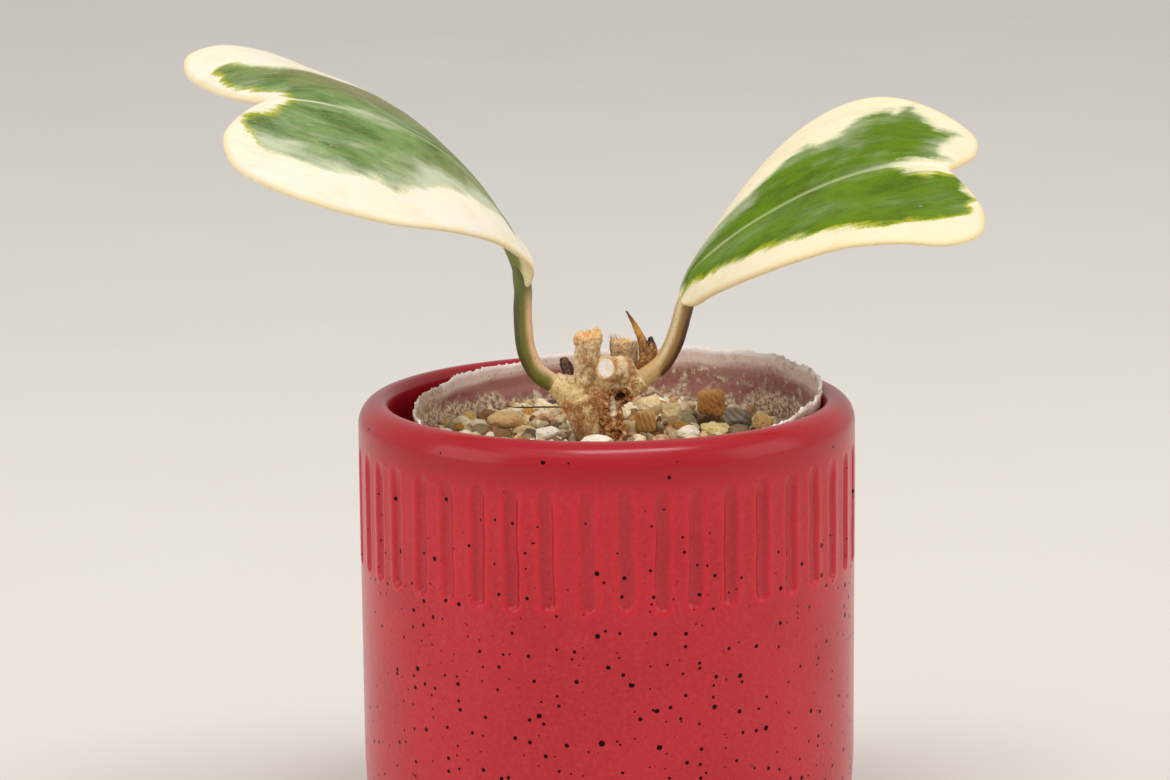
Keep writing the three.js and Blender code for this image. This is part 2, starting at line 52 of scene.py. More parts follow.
# Studio. A plain pale floor under soft light: a wide panel above the front of the pot with a
# bright strip behind it, one panel at either side, and a pale surround. The camera looks down a
# little from the front.
CAMERA_PLACE = (0, -0.8488, 0.2797)
CAMERA_YAW = math.radians(0.304)
CAMERA_PITCH = math.radians(11.84)
CAMERA_ROLL = math.radians(-0.548)
CAMERA_LENS = 126.2
FLOOR_SIZE = 12
FLOOR_THICKNESS = 0.01
LIGHT_TARGET = Vector((0, 0, 0.1))
LIGHTS = (
    ("light_above", (-0.25, -0.75, 1.35), (1.6, 1.0), 3.5),
    ("light_strip", (0.15, -0.42, 1.42), (0.9, 0.3), 8),
    ("light_left", (-1.3, -0.5, 0.6), (1.0, 1.0), 4.5),
    ("light_right", (1.4, -0.3, 0.6), (1.0, 1.0), 3.6),
)
SURROUND_STRENGTH = 0.66


def tint(code):
    """Linear colour from a hexadecimal sRGB one."""
    parts = [int(code[i:i + 2], 16) / 255 for i in (0, 2, 4)]
    return [p / 12.92 if p <= 0.04045 else ((p + 0.055) / 1.055) ** 2.4 for p in parts] + [1]


class Pattern:
    """Adds shader nodes to a node tree. An input takes a value, or the output linked to it."""

    def __init__(self, tree, place):
        self.tree = tree
        self.place = place

    def fill(self, socket, value):
        if isinstance(value, bpy.types.NodeSocket):
            self.tree.links.new(value, socket)
        else:
            socket.default_value = tint(value) if isinstance(value, str) else value

    def node(self, kind, inputs, **settings):
        node = self.tree.nodes.new("ShaderNode" + kind)
        for name, value in settings.items():
            setattr(node, name, value)
        for name, value in inputs.items():
            self.fill(node.inputs[name], value)
        return node.outputs

    def mix(self, share, first, second, mode="MIX"):
        """Colour that goes from first to second as share goes from 0 to 1."""
        inputs = {0: share, 6: first, 7: second}
        return self.node("Mix", inputs, data_type="RGBA", blend_type=mode)[2]

    def mask(self, value, low, high):
        """Rises softly from 0 at low to 1 at high."""
        inputs = {"Value": value, "From Min": low, "From Max": high}
        return self.node("MapRange", inputs, interpolation_type="SMOOTHSTEP")[0]

    def ramp(self, value, low, high, start=0, end=1):
        """Goes evenly from low to high as value goes from start to end."""
        inputs = {"Value": value, "From Min": start, "From Max": end, "To Min": low, "To Max": high}
        return self.node("MapRange", inputs)[0]

    def reckon(self, operation, *values):
        """Joins two or more values, one after the other, by the same operation."""
        result = values[0]
        for value in values[1:]:
            result = self.node("Math", {0: result, 1: value}, operation=operation)[0]
        return result

    def times(self, *values):
        return self.reckon("MULTIPLY", *values)

    def plus(self, *values):
        return self.reckon("ADD", *values)

    def highest(self, *values):
        return self.reckon("MAXIMUM", *values)

    def cloud(self, scale, detail=3, roughness=0.5, at=None):
        """Noise from 0 to 1 with about scale blobs to a metre."""
        inputs = {"Vector": at or self.place, "Scale": scale, "Detail": detail, "Roughness": roughness}
        return self.node("TexNoise", inputs)["Fac"]

    def mapped(self, at=None, **how):
        """Place that is shifted, turned or scaled for the pattern that reads it."""
        return self.node("Mapping", {"Vector": at or self.place, **how})[0]


class Finish(Pattern):
    """A material with its Principled shader. Its colours are laid over one another like coats."""

    def __init__(self, name, roughness, **constants):
        self.material = bpy.data.materials.new(name)
        self.material.use_nodes = True
        super().__init__(self.material.node_tree, None)
        self.place = self.node("TexCoord", {})["Object"]
        self.sockets = self.tree.nodes["Principled BSDF"].inputs
        for socket, value in {"Roughness": roughness, **constants}.items():
            self.sockets[socket.replace("_", " ")].default_value = value

    def along(self, axis):
        return self.node("SeparateXYZ", {"Vector": self.place})[axis]

    def painted(self, name):
        """Value that the mesh keeps for each corner under this name."""
        return self.node("Attribute", {}, attribute_name=name)["Fac"]

    def lay(self, color, *shares, mode="MIX"):
        """Lays a colour over the ones before it, as thick as the product of the shares."""
        self.color = self.mix(self.times(*shares), self.color, color, mode)

    def on(self, piece, height=None, depth=0, strength=1):
        """Puts the material on the piece, with a relief that height, from 0 to 1, raises by depth."""
        self.fill(self.sockets["Base Color"], self.color)
        if height:
            bump = {"Height": height, "Distance": depth, "Strength": strength}
            self.fill(self.sockets["Normal"], self.node("Bump", bump)["Normal"])
        piece.data.materials.clear()
        piece.data.materials.append(self.material)


lens = bpy.data.cameras.new("camera")
lens.sensor_width = 36
lens.lens = CAMERA_LENS
lens.clip_start = 0.05
camera = bpy.data.objects.new("camera", lens)
bpy.context.scene.collection.objects.link(camera)
camera.matrix_world = (
    Matrix.Translation(CAMERA_PLACE)
    @ Matrix.Rotation(CAMERA_YAW, 4, "Z")
    @ Matrix.Rotation(math.pi / 2 - CAMERA_PITCH, 4, "X")
    @ Matrix.Rotation(CAMERA_ROLL, 4, "Z")
)
bpy.context.scene.camera = camera

for name, place, size, watts in LIGHTS:
    light = bpy.data.lights.new(name, "AREA")
    light.shape = "RECTANGLE"
    light.size, light.size_y = size
    light.energy = watts
    panel = bpy.data.objects.new(name, light)
    bpy.context.scene.collection.objects.link(panel)
    panel.location = place
    panel.rotation_euler = (LIGHT_TARGET - Vector(place)).to_track_quat("-Z", "Y").to_euler()
world = bpy.data.worlds.new("surround")
world.use_nodes = True
backdrop = world.node_tree.nodes["Background"].inputs
backdrop["Color"].default_value = tint("F6F3EF")
backdrop["Strength"].default_value = SURROUND_STRENGTH
bpy.context.scene.world = world
bpy.context.scene.view_settings.view_transform = "Standard"

bpy.ops.object.select_all(action="DESELECT")
bpy.ops.mesh.primitive_cube_add(size=1, location=(0, 0, -FLOOR_THICKNESS / 2))
floor = bpy.context.object
floor.name = "floor"
floor.scale = (FLOOR_SIZE, FLOOR_SIZE, FLOOR_THICKNESS)
bpy.ops.object.transform_apply(location=True, rotation=True, scale=True)
board = Finish("pale_floor", 0.5)
board.color = board.mix(board.cloud(14), "E6E1DB", "EAE6E1")
board.on(floor)


# Cover pot: a thick straight-sided cylinder of thrown stoneware with a rounded rim. A ring of
# upright flutes was pressed into its shoulder by hand before it was dipped in a satin raspberry
# glaze, which ran thin and bright over the flutes' edges and is dotted with iron specks.
POT_FLOOR = 7 * MM
POT_WALL = 6 * MM
FOOT_RADIUS = 46 * MM
HEEL_RADIUS = 51.2 * MM
HEEL_HEIGHT = 6 * MM
HEEL_TUCK = 0.6 * MM
BELLY_START = 18 * MM
BELLY_HEIGHT = 26 * MM
RIM_CREST_RADIUS = 47.9 * MM
RIM_CREST_LIFT = 0.5 * MM
RIM_SHOULDER = 5 * MM
RIM_LIP = 2.4 * MM
RIM_INNER_RADIUS = 45.9 * MM
RIM_TILT = 0.8 * MM
RIM_TILT_START = 92.5 * MM
INNER_TAPER = 1 * MM
INNER_CORNER = 5 * MM
INNER_FLOOR_RADIUS = 43 * MM
FLUTE_COUNT = 43
FLUTE_START = math.radians(5.6)
FLUTE_WIDTH = 3.4 * MM
FLUTE_DEPTH = 0.7 * MM
FLUTE_TOP = 92.1 * MM
FLUTE_LENGTH = 25.5 * MM
FLUTE_LIP = 0.09 * MM
STEPS_PER_FLUTE = 20
FLUTE_SPACING_PLAY = 0.12
FLUTE_DEPTH_PLAY = 0.3
FLUTE_LEAN = 0.03
FLUTE_HEIGHT_PLAY = 0.5 * MM
FLUTE_WAVER = 0.12 * MM
FLUTE_WAVER_LENGTH = 2.1 * MM
SEAM = 0.005 * MM


def seeded(seed):
    """Repeatable numbers between 0 and 1."""
    state = seed
    while True:
        state = (state * 1664525 + 1013904223) % 4294967296
        yield state / 4294967296


def bent(start, middle, end, steps):
    """Points along a curve that leaves start towards middle and arrives at end from it."""
    start, middle, end = (np.array(point) for point in (start, middle, end))
    shares = [i / steps for i in range(1, steps + 1)]
    return [(1 - t) ** 2 * start + 2 * t * (1 - t) * middle + t * t * end for t in shares]


def straight(start, end, steps):
    start, end = np.array(start), np.array(end)
    return [start + (end - start) * i / steps for i in range(1, steps + 1)]


def applied(piece, kind, **settings):
    """Adds a modifier to the piece and applies it."""
    bpy.context.view_layer.objects.active = piece
    modifier = piece.modifiers.new(kind.lower(), kind)
    for name, value in settings.items():
        setattr(modifier, name, value)
    bpy.ops.object.modifier_apply(modifier=modifier.name)


def weld(gap):
    """Joins corners of the active piece that lie within gap, and turns its faces outwards."""
    bpy.ops.object.mode_set(mode="EDIT")
    bpy.ops.mesh.select_all(action="SELECT")
    bpy.ops.mesh.remove_doubles(threshold=gap)
    bpy.ops.mesh.normals_make_consistent(inside=False)
    bpy.ops.object.mode_set(mode="OBJECT")
    bpy.ops.object.shade_smooth()


def spun(name, outline, steps):
    """Body made by extruding one point along an outline of (radius, height) and turning it."""
    bpy.ops.object.select_all(action="DESELECT")
    bpy.ops.mesh.primitive_plane_add(size=MM)
    piece = bpy.context.object
    piece.name = piece.data.name = name
    bpy.ops.object.mode_set(mode="EDIT")
    bpy.ops.mesh.merge(type="CENTER")
    bpy.ops.transform.translate(value=(outline[0][0], 0, outline[0][1]))
    for here, there in zip(outline, outline[1:]):
        move = (there[0] - here[0], 0, there[1] - here[1])
        bpy.ops.mesh.extrude_vertices_move(TRANSFORM_OT_translate={"value": move})
    bpy.ops.object.mode_set(mode="OBJECT")
    turning = {"steps": steps, "render_steps": steps}
    applied(piece, "SCREW", use_merge_vertices=True, merge_threshold=SEAM, **turning)
    weld(SEAM)
    return piece


def corners(piece):
    places = np.empty(len(piece.data.vertices) * 3)
    piece.data.vertices.foreach_get("co", places)
    return places.reshape(-1, 3)


def move_corners(piece, places):
    piece.data.vertices.foreach_set("co", np.ravel(places))
    piece.data.update()


def paint(piece, **masks):
    """Keeps values for each corner of the mesh, which a material reads by their names."""
    for name, values in masks.items():
        layer = piece.data.attributes.new(name, "FLOAT", "POINT")
        layer.data.foreach_set("value", np.asarray(values, np.float32))


def wrap_around(piece):
    """Unrolls the surface into a UV map in metres: the way round it, with its seam at the back,
    and the height."""
    mesh = piece.data
    places = corners(piece)
    loop_corner = np.empty(len(mesh.loops), int)
    mesh.loops.foreach_get("vertex_index", loop_corner)
    face_size = np.empty(len(mesh.polygons), int)
    mesh.polygons.foreach_get("loop_total", face_size)
    face = np.repeat(np.arange(len(face_size)), face_size)
    turn = np.arctan2(places[:, 0], -places[:, 1])[loop_corner]
    highest = np.full(len(face_size), -9.0)
    np.maximum.at(highest, face, turn)
    turn = np.where(highest[face] - turn > math.pi, turn + 2 * math.pi, turn)
    unrolled = np.stack([turn * POT_RADIUS, places[loop_corner, 2]], 1)
    mesh.uv_layers.new(name="around").data.foreach_set("uv", unrolled.ravel())


def rise(values, low, high):
    """Goes softly from 0 at low to 1 at high."""
    share = np.clip((values - low) / (high - low), 0, 1)
    return share * share * (3 - 2 * share)


pot_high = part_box("pot")[1]
POT_RADIUS, POT_HEIGHT = pot_high.x, pot_high.z
inner_radius = POT_RADIUS - POT_WALL - INNER_TAPER
crest = POT_HEIGHT + RIM_CREST_LIFT
flute_foot = FLUTE_TOP - FLUTE_LENGTH
heel = (HEEL_RADIUS, HEEL_HEIGHT)
belly = (POT_RADIUS, BELLY_HEIGHT)
outline = [np.array([0, 0])]
outline += straight((0, 0), (FOOT_RADIUS, 0), 4)
outline += bent((FOOT_RADIUS, 0), (HEEL_RADIUS - HEEL_TUCK, 0), heel, 8)
outline += bent(heel, (POT_RADIUS, BELLY_START), belly, 5)
for height, steps in (
    (flute_foot - 2 * MM, 6), (flute_foot + 3 * MM, 14), (FLUTE_TOP - 4 * MM, 10),
    (FLUTE_TOP + 1 * MM, 13), (crest - RIM_SHOULDER, 3),
):
    outline += straight(outline[-1], (POT_RADIUS, height), steps)
for edge, drop, steps, outward, upward in (
    (POT_RADIUS, RIM_SHOULDER, 12, math.cos, math.sin),
    (RIM_INNER_RADIUS, RIM_LIP, 8, math.sin, math.cos),
):
    for i in range(1, steps + 1):
        angle = math.pi / 2 / steps * i
        radius = RIM_CREST_RADIUS + (edge - RIM_CREST_RADIUS) * outward(angle)
        outline.append(np.array([radius, crest - drop * (1 - upward(angle))]))
inner_corner = (inner_radius, POT_FLOOR + INNER_CORNER)
outline += straight(outline[-1], inner_corner, 7)
outline += bent(inner_corner, (inner_radius, POT_FLOOR), (INNER_FLOOR_RADIUS, POT_FLOOR), 4)
outline += straight(outline[-1], (0, POT_FLOOR), 3)
pot = spun("cover_pot", outline, FLUTE_COUNT * STEPS_PER_FLUTE)

draw = seeded(7)
flutes = []
for k in range(FLUTE_COUNT):
    angle = 2 * math.pi * (k + FLUTE_SPACING_PLAY * (next(draw) - 0.5)) / FLUTE_COUNT
    depth = FLUTE_DEPTH * (1 + FLUTE_DEPTH_PLAY * (next(draw) - 0.5))
    lean = FLUTE_LEAN * (next(draw) - 0.5)
    middle = FLUTE_TOP - FLUTE_LENGTH / 2 + FLUTE_HEIGHT_PLAY * (next(draw) - 0.5)
    flutes.append((angle, depth, lean, middle))

places = corners(pot)
radii = np.hypot(places[:, 0], places[:, 1])
turns = np.arctan2(places[:, 1], places[:, 0]) - FLUTE_START
nearest = np.round(turns / (2 * math.pi) * FLUTE_COUNT).astype(int) % FLUTE_COUNT
angle, depth, lean, middle = np.array(flutes)[nearest].T
aside = (turns - angle + math.pi) % (2 * math.pi) - math.pi
aside = aside * POT_RADIUS + lean * (places[:, 2] - middle)
aside += FLUTE_WAVER * np.sin(places[:, 2] / FLUTE_WAVER_LENGTH + 2.4 * nearest)
half = FLUTE_WIDTH / 2
beyond = np.maximum(np.abs(places[:, 2] - middle) - (FLUTE_LENGTH / 2 - half), 0)
reach = np.hypot(aside, beyond) / half
outside = (radii > POT_RADIUS - 0.05 * MM) & (places[:, 2] > BELLY_HEIGHT)
fade = rise(middle + FLUTE_LENGTH / 2 - places[:, 2], -0.6 * MM, 5 * MM) * 0.75 + 0.25
floor_share = (1 - rise(reach, 0.42, 1.05)) * outside * fade
edge_share = rise(reach, 0.75, 1.12) * (1 - rise(reach, 1.2, 1.95)) * outside * fade
sunk = depth * floor_share - FLUTE_LIP * edge_share
scale = (radii - sunk) / np.maximum(radii, MM)
places *= np.stack([scale, scale, np.ones_like(scale)], 1)
places[:, 2] -= RIM_TILT * places[:, 1] / POT_RADIUS * rise(places[:, 2], RIM_TILT_START, crest)
move_corners(pot, places)
paint(pot, flute_floor=floor_share, flute_edge=edge_share)
wrap_around(pot)


def spots_group(name, dimensions):
    """Scattered round spots of mixed size: a mask made from the cells of a Voronoi pattern."""
    group = bpy.data.node_groups.new(name, "ShaderNodeTree")
    for entry, kind, value in (
        ("Vector", "NodeSocketVector", (0, 0, 0)),
        ("Scale", "NodeSocketFloat", 300),
        ("Radius", "NodeSocketFloat", 0.2),
        ("Share", "NodeSocketFloat", 0.5),
    ):
        socket = group.interface.new_socket(name=entry, in_out="INPUT", socket_type=kind)
        socket.default_value = value
    group.interface.new_socket(name="Mask", in_out="OUTPUT", socket_type="NodeSocketFloat")
    given = group.nodes.new("NodeGroupInput").outputs
    result = group.nodes.new("NodeGroupOutput").inputs
    dots = Pattern(group, given["Vector"])
    cell = {"Vector": given["Vector"], "Scale": given["Scale"]}
    cells = dots.node("TexVoronoi", cell, voronoi_dimensions=dimensions)
    dice = dots.node("SeparateColor", {"Color": cells["Color"]})
    size = dots.times(dots.plus(dots.reckon("POWER", dice["Red"], 2.2), 0.25), given["Radius"])
    ragged = dots.times(dots.plus(dots.cloud(2600, 2), -0.5), 0.07)
    distance = dots.plus(cells["Distance"], ragged)
    chosen = dots.reckon("LESS_THAN", dice["Green"], given["Share"])
    mask = dots.times(dots.mask(distance, size, dots.times(size, 0.72)), chosen)
    dots.fill(result["Mask"], mask)
    return group


solid_spots = spots_group("spots_in_depth", "3D")
flat_spots = spots_group("spots_on_surface", "2D")


def spots(finish, scale, radius, share, at=None):
    """Spots all through the piece or, where at gives a flat place, on its surface."""
    inputs = {"Vector": at or finish.place, "Scale": scale, "Radius": radius, "Share": share}
    return finish.node("Group", inputs, node_tree=flat_spots if at else solid_spots)["Mask"]


glaze = Finish("raspberry_glaze", 0.36, Specular_IOR_Level=0.08, Coat_Roughness=0.2)
unrolled = glaze.node("UVMap", {}, uv_map="around")["UV"]
unrolled = glaze.mapped(unrolled, Location=(0.371, 0.193, 0))
height = glaze.along("Z")
fine = glaze.cloud(1100)
glaze.color = glaze.mix(glaze.mask(glaze.cloud(45, 4), 0.3, 0.7), "AE1724", "B81D29")
glaze.lay("C03A45", glaze.mask(fine, 0.4, 0.75), 0.35)
# The band below the rim is painted a deeper, darker red: painted shade, for the darker surroundings the
# band reflects.
glaze.lay("A00A18", glaze.mask(height, 90 * MM, 95.5 * MM), 0.8)
glaze.lay("CE1522", glaze.painted("flute_edge"), 0.5)
# The groove floors are laid darker: partly thicker glaze pooled in them and partly painted shade in the
# recess.
glaze.lay("902030", glaze.painted("flute_floor"), 0.22)
few = glaze.plus(glaze.times(glaze.mask(height, 97 * MM, 62 * MM), 0.4), 0.07)
few = glaze.times(few, glaze.mask(height, 99.2 * MM, 97.8 * MM))
large = spots(glaze, 165, 0.105, few, unrolled)
small = spots(glaze, 310, 0.135, glaze.times(few, 1.6), unrolled)
specks = glaze.highest(large, small)
glaze.lay("160607", specks)
bare = glaze.mask(height, 0.5 * MM, 0.2 * MM)
glaze.lay("B79C80", bare)
glaze.fill(glaze.sockets["Roughness"], glaze.ramp(bare, 0.36, 0.9))
glaze.fill(glaze.sockets["Coat Weight"], glaze.times(glaze.mask(specks, 0.6, 0), 0.55))
glaze.on(pot, glaze.plus(glaze.cloud(160), glaze.times(fine, 0.2)), 0.1 * MM, 0.5)
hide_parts("pot")
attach(pot, "root")


# Nursery cup. A thin milky plastic cup that stands inside the cover pot. Its top was cut away by
# hand, just above a moulded bead, which left a sloping edge with torn burrs. Lime and dried mix
# have stained its inner side above the grit.
CUP_WALL = 0.5 * MM
CUP_BASE_RADIUS = 33 * MM
CUP_TOP_RADIUS = 43.2 * MM
CUP_EDGE_HEIGHT = 99.8 * MM
CUP_CUT_START = 92 * MM
CUP_BEAD_HEIGHT = 94.85 * MM
CUP_BEAD_PROUD = 0.35 * MM
CUP_BEAD_REACH = 0.5 * MM
CUP_STEPS = 720
CUP_PLAIN_TOP = 86 * MM
TEAR_HEIGHT = 0.8 * MM
EDGE_CURL = 0.5 * MM
DRAIN_RADIUS = 3 * MM
DRAIN_RING = 20 * MM
DRAIN_COUNT = 6


def cup_radius(height):
    climb = (height - POT_FLOOR) / (CUP_EDGE_HEIGHT - POT_FLOOR)
    return CUP_BASE_RADIUS + (CUP_TOP_RADIUS - CUP_BASE_RADIUS) * climb


def noise_at(places, size, seed):
    """Smooth noise from -1 to 1 at each place, with blobs about size wide."""
    shift = Vector((seed * 7.31, seed * 3.17, seed * 5.03))
    return np.array([noise.noise(Vector(place) / size + shift) for place in places])


def merged(name, pieces):
    bpy.ops.object.select_all(action="DESELECT")
    for piece in pieces:
        piece.select_set(True)
    bpy.context.view_layer.objects.active = pieces[0]
    bpy.ops.object.join()
    whole = bpy.context.object
    whole.name = whole.data.name = name
    bpy.ops.object.shade_smooth()
    return whole


low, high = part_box("nursery_cup")
cup_centre = (low.x + high.x) / 2
heights = [POT_FLOOR + (CUP_PLAIN_TOP - POT_FLOOR) * i / 6 for i in range(7)]
heights += [CUP_PLAIN_TOP + (CUP_EDGE_HEIGHT - CUP_PLAIN_TOP) * i / 18 for i in range(1, 19)]
outline = [(0, POT_FLOOR)] + [(cup_radius(height), height) for height in heights]
outline += [(cup_radius(height) - CUP_WALL, height) for height in reversed(heights[1:])]
outline += [(CUP_BASE_RADIUS - CUP_WALL, POT_FLOOR + CUP_WALL), (0, POT_FLOOR + CUP_WALL)]
cup = spun("cut_down_cup", outline, CUP_STEPS)
places = corners(cup)
turns = np.arctan2(places[:, 1], places[:, 0])
around = np.stack([np.cos(turns), np.sin(turns), np.zeros_like(turns)], 1)
share = np.clip((places[:, 2] - CUP_CUT_START) / (CUP_EDGE_HEIGHT - CUP_CUT_START), 0, 1)
lift = 2.5 * np.cos(turns) + 2.6 * np.sin(turns) + 0.5 * np.cos(2 * turns)
lift += 0.22 * np.sin(11 * turns) + 0.16 * np.sin(23 * turns)
bead = np.exp(-(((places[:, 2] - CUP_BEAD_HEIGHT) / CUP_BEAD_REACH) ** 2))
at_edge = places[:, 2] > CUP_EDGE_HEIGHT - 0.1 * MM
torn = np.zeros(len(places))
torn[at_edge] = (
    np.maximum(noise_at(around[at_edge], 0.045, 1), 0)
    + 1.5 * np.maximum(noise_at(around[at_edge], 0.014, 2) - 0.12, 0)
)
curl = np.zeros(len(places))
near_edge = share > 0.85
curl[near_edge] = noise_at(around[near_edge], 0.06, 3) * rise(share[near_edge], 0.85, 1)
places[:, 2] += share * lift * MM + torn * TEAR_HEIGHT
places += around * (bead * CUP_BEAD_PROUD + curl * EDGE_CURL)[:, None]
places[:, 0] += cup_centre
move_corners(cup, places)
wavering = share + 0.05 * np.sin(5 * turns + 1)
paint(cup, cut_edge=rise(share, 0.88, 0.97), scraped=rise(wavering, 0.6, 0.72))

drills = []
for k in range(DRAIN_COUNT):
    turn = 2 * math.pi * k / DRAIN_COUNT
    at = (cup_centre + DRAIN_RING * math.cos(turn), DRAIN_RING * math.sin(turn), POT_FLOOR)
    bpy.ops.mesh.primitive_cylinder_add(vertices=24, radius=DRAIN_RADIUS, depth=4 * MM, location=at)
    drills.append(bpy.context.object)
drill = merged("drain_drill", drills)
bpy.ops.object.shade_flat()
applied(cup, "BOOLEAN", operation="DIFFERENCE", object=drill)
bpy.data.objects.remove(drill)

film = Finish("milky_plastic", 0.36)
height, sidelong = film.along("Z"), film.along("X")
level = film.mapped(Scale=(0.25, 0.25, 1))
crust = film.cloud(1300, 5, 0.7)
low = film.mask(height, 98 * MM, 90.5 * MM)
left_end = film.mask(sidelong, -29 * MM, -37 * MM)
right_end = film.mask(sidelong, 26 * MM, 44 * MM)
ends = film.times(film.highest(left_end, right_end), 0.24)
drift = film.times(film.plus(film.cloud(75), -0.5), 0.7)
stain = film.plus(film.times(low, 0.46), film.cloud(300, 6, 0.72), ends, drift)
deposit = film.times(film.mask(stain, 0.69, 0.84), film.mask(crust, 0.32, 0.52))
ring = film.times(
    film.mask(height, 94.5 * MM, 96 * MM),
    film.mask(sidelong, 2 * MM, 9 * MM),
    film.mask(height, 101 * MM, 98.5 * MM),
    film.mask(film.cloud(130, at=level), 0.38, 0.55),
)
bubbles = film.mask(film.cloud(420, 6, 0.75), 0.5, 0.6)
deposit = film.highest(deposit, film.times(bubbles, ring))
edge, strip = film.painted("cut_edge"), film.painted("scraped")
# The milky plastic's body colour is a dark mauve-brown: painted shade and painted red reflection from
# the pot around it.
mauve = film.mask(film.cloud(260, 4, at=level), 0.3, 0.7)
film.color = film.mix(mauve, "985550", "B88178")
film.lay("ECD6CA", strip, film.mask(crust, 0.2, 0.5), 0.95)
film.lay("FAF0EA", edge)
film.lay(film.mix(film.mask(crust, 0.4, 0.62), "C2A184", "EAD6BC"), deposit)
milky = film.cloud(150, 4, at=film.mapped(Scale=(1, 1, 0.3)))
covered = (edge, film.times(strip, 0.9), film.times(deposit, 0.95))
film.fill(film.sockets["Alpha"], film.highest(film.ramp(milky, 0.65, 0.9), *covered))
film.on(cup, film.plus(crust, deposit), 0.25 * MM, 0.6)
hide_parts("nursery_cup")
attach(cup, "root")


# Potting mix and grit. Dark crumbly mix fills the cup, and a layer of washed stones of many
# colours, from fines under 2 mm up to 8 mm, is spread over it.
MIX_TOP = 84 * MM
FINES_TOP = 89 * MM
GRIT_TOP = 90.6 * MM
GRIT_STONES = 98
GRIT_TRIES = 6000
GRIT_SMALL = 2.8
GRIT_LARGE = 4.3
STEM_PLACE = (0.2 * MM, 0.6 * MM)
STEM_ROOM = 5.5 * MM
SMALL_STONE = 0.8
SMALL_STONES = ((1250, 2.3, 91.6, False), (210, 1.7, 91.2, True))
STONE_TONES = (
    ("F8EBCC", 7), ("FAF1DE", 4), ("EBCD94", 6), ("C8924A", 2), ("CFBB98", 4),
    ("A08A6C", 2), ("AFA686", 1), ("946C46", 2), ("D8AC88", 2), ("6B5745", 1),
)


def rough_stone(name, seed, subdivisions, flats, bumps=0.13):
    """Broken stone of unit size: a ball with flats worn into it and an uneven skin."""
    bpy.ops.mesh.primitive_ico_sphere_add(subdivisions=subdivisions, radius=1)
    stone = bpy.context.object
    stone.name = stone.data.name = name
    draw = seeded(seed)
    ways = corners(stone)
    ways /= np.linalg.norm(ways, axis=1, keepdims=True)
    reach = np.ones(len(ways))
    for k in range(flats):
        turn, slope = 2 * math.pi * next(draw), 2 * next(draw) - 1
        level = math.sqrt(1 - slope * slope)
        facing = ways @ np.array([level * math.cos(turn), level * math.sin(turn), slope])
        depth = 0.58 + 0.3 * next(draw)
        reach = np.where(facing > 0.1, np.minimum(reach, depth / np.maximum(facing, 0.1)), reach)
    reach += bumps * noise_at(ways, 0.5, seed) + 0.4 * bumps * noise_at(ways, 0.17, seed + 1)
    move_corners(stone, ways * reach[:, None])
    return stone


def placed_copy(model, half, turn, at):
    """Copy of a model with a mesh of its own, stretched, turned and put in place."""
    copy = bpy.data.objects.new(model.name, model.data.copy())
    bpy.context.scene.collection.objects.link(copy)
    stretch = Matrix.Diagonal((*half, 1))
    copy.data.transform(Matrix.Translation(at) @ Euler(turn).to_matrix().to_4x4() @ stretch)
    return copy


def tinge(piece, color):
    """Keeps a colour for each corner of the mesh."""
    layer = piece.data.attributes.new("stone_color", "FLOAT_COLOR", "POINT")
    layer.data.foreach_set("color", list(color) * len(piece.data.vertices))


def stone_finish(piece, name, banded, specks):
    """Matt mineral: each stone's own colour, with mottling, grains, specks and some with bands."""
    rock = Finish(name, 0.85)
    rock.color = rock.node("Attribute", {}, attribute_name="stone_color")["Color"]
    mottle = rock.mask(rock.cloud(420, 4), 0.3, 0.7)
    rock.lay((0.86, 0.79, 0.68, 1), mottle, mode="MULTIPLY")
    rock.lay((1.4, 1.32, 1.15, 1), rock.mask(rock.cloud(2200), 0.45, 0.7), 0.35, mode="MULTIPLY")
    if banded:
        tilted = rock.mapped(Rotation=(0.4, 0.9, 0.3))
        wave = {"Vector": tilted, "Scale": 260, "Distortion": 2.5, "Detail": 2}
        bands = rock.node("TexWave", wave)["Fac"]
        rock.lay((0.45, 0.42, 0.4, 1), bands, banded, mode="MULTIPLY")
    rock.lay("4E4038", spots(rock, 900, 0.22, specks), 0.75)
    rock.on(piece, rock.plus(rock.cloud(1400, 5), mottle), 0.36 * MM, 0.9)


large_boxes = [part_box(node) for node in sorted(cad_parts) if node.startswith("stone_")]


def room_at(x, y):
    """True away from the stem and from the larger stones."""
    if math.hypot(x - STEM_PLACE[0], y - STEM_PLACE[1]) < STEM_ROOM:
        return False
    for low, high in large_boxes:
        middle, half = (low + high) / 2, (high - low) / 2
        if math.hypot((x - middle.x) / half.x, (y - middle.y) / half.y) < 1.05:
            return False
    return True


soil = Finish("potting_mix", 0.95)
crumbs = soil.mask(soil.cloud(700, 6), 0.35, 0.7)
soil.color = soil.mix(crumbs, "2F241B", "5A4634")
soil.lay("9A8163", spots(soil, 260, 0.2, 0.4))
soil.on(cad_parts["potting_mix"], crumbs, 0.6 * MM)

outline = [(0, MIX_TOP)]
outline += straight((0, MIX_TOP), (cup_radius(MIX_TOP) - 2 * CUP_WALL, MIX_TOP), 3)
outline += straight(outline[-1], (cup_radius(FINES_TOP) - 2 * CUP_WALL, FINES_TOP), 3)
outline += straight(outline[-1], (0, FINES_TOP), 44)
fines = spun("fines", outline, 150)
places = corners(fines)
top = places[:, 2] > FINES_TOP - 0.1 * MM
crumbs = 0.7 * noise_at(places[top], 2.2 * MM, 4) + 0.4 * noise_at(places[top], 0.8 * MM, 5)
places[top, 2] += crumbs * MM
places[:, 0] += cup_centre
move_corners(fines, places)
tinge(fines, tint("BCA27C"))

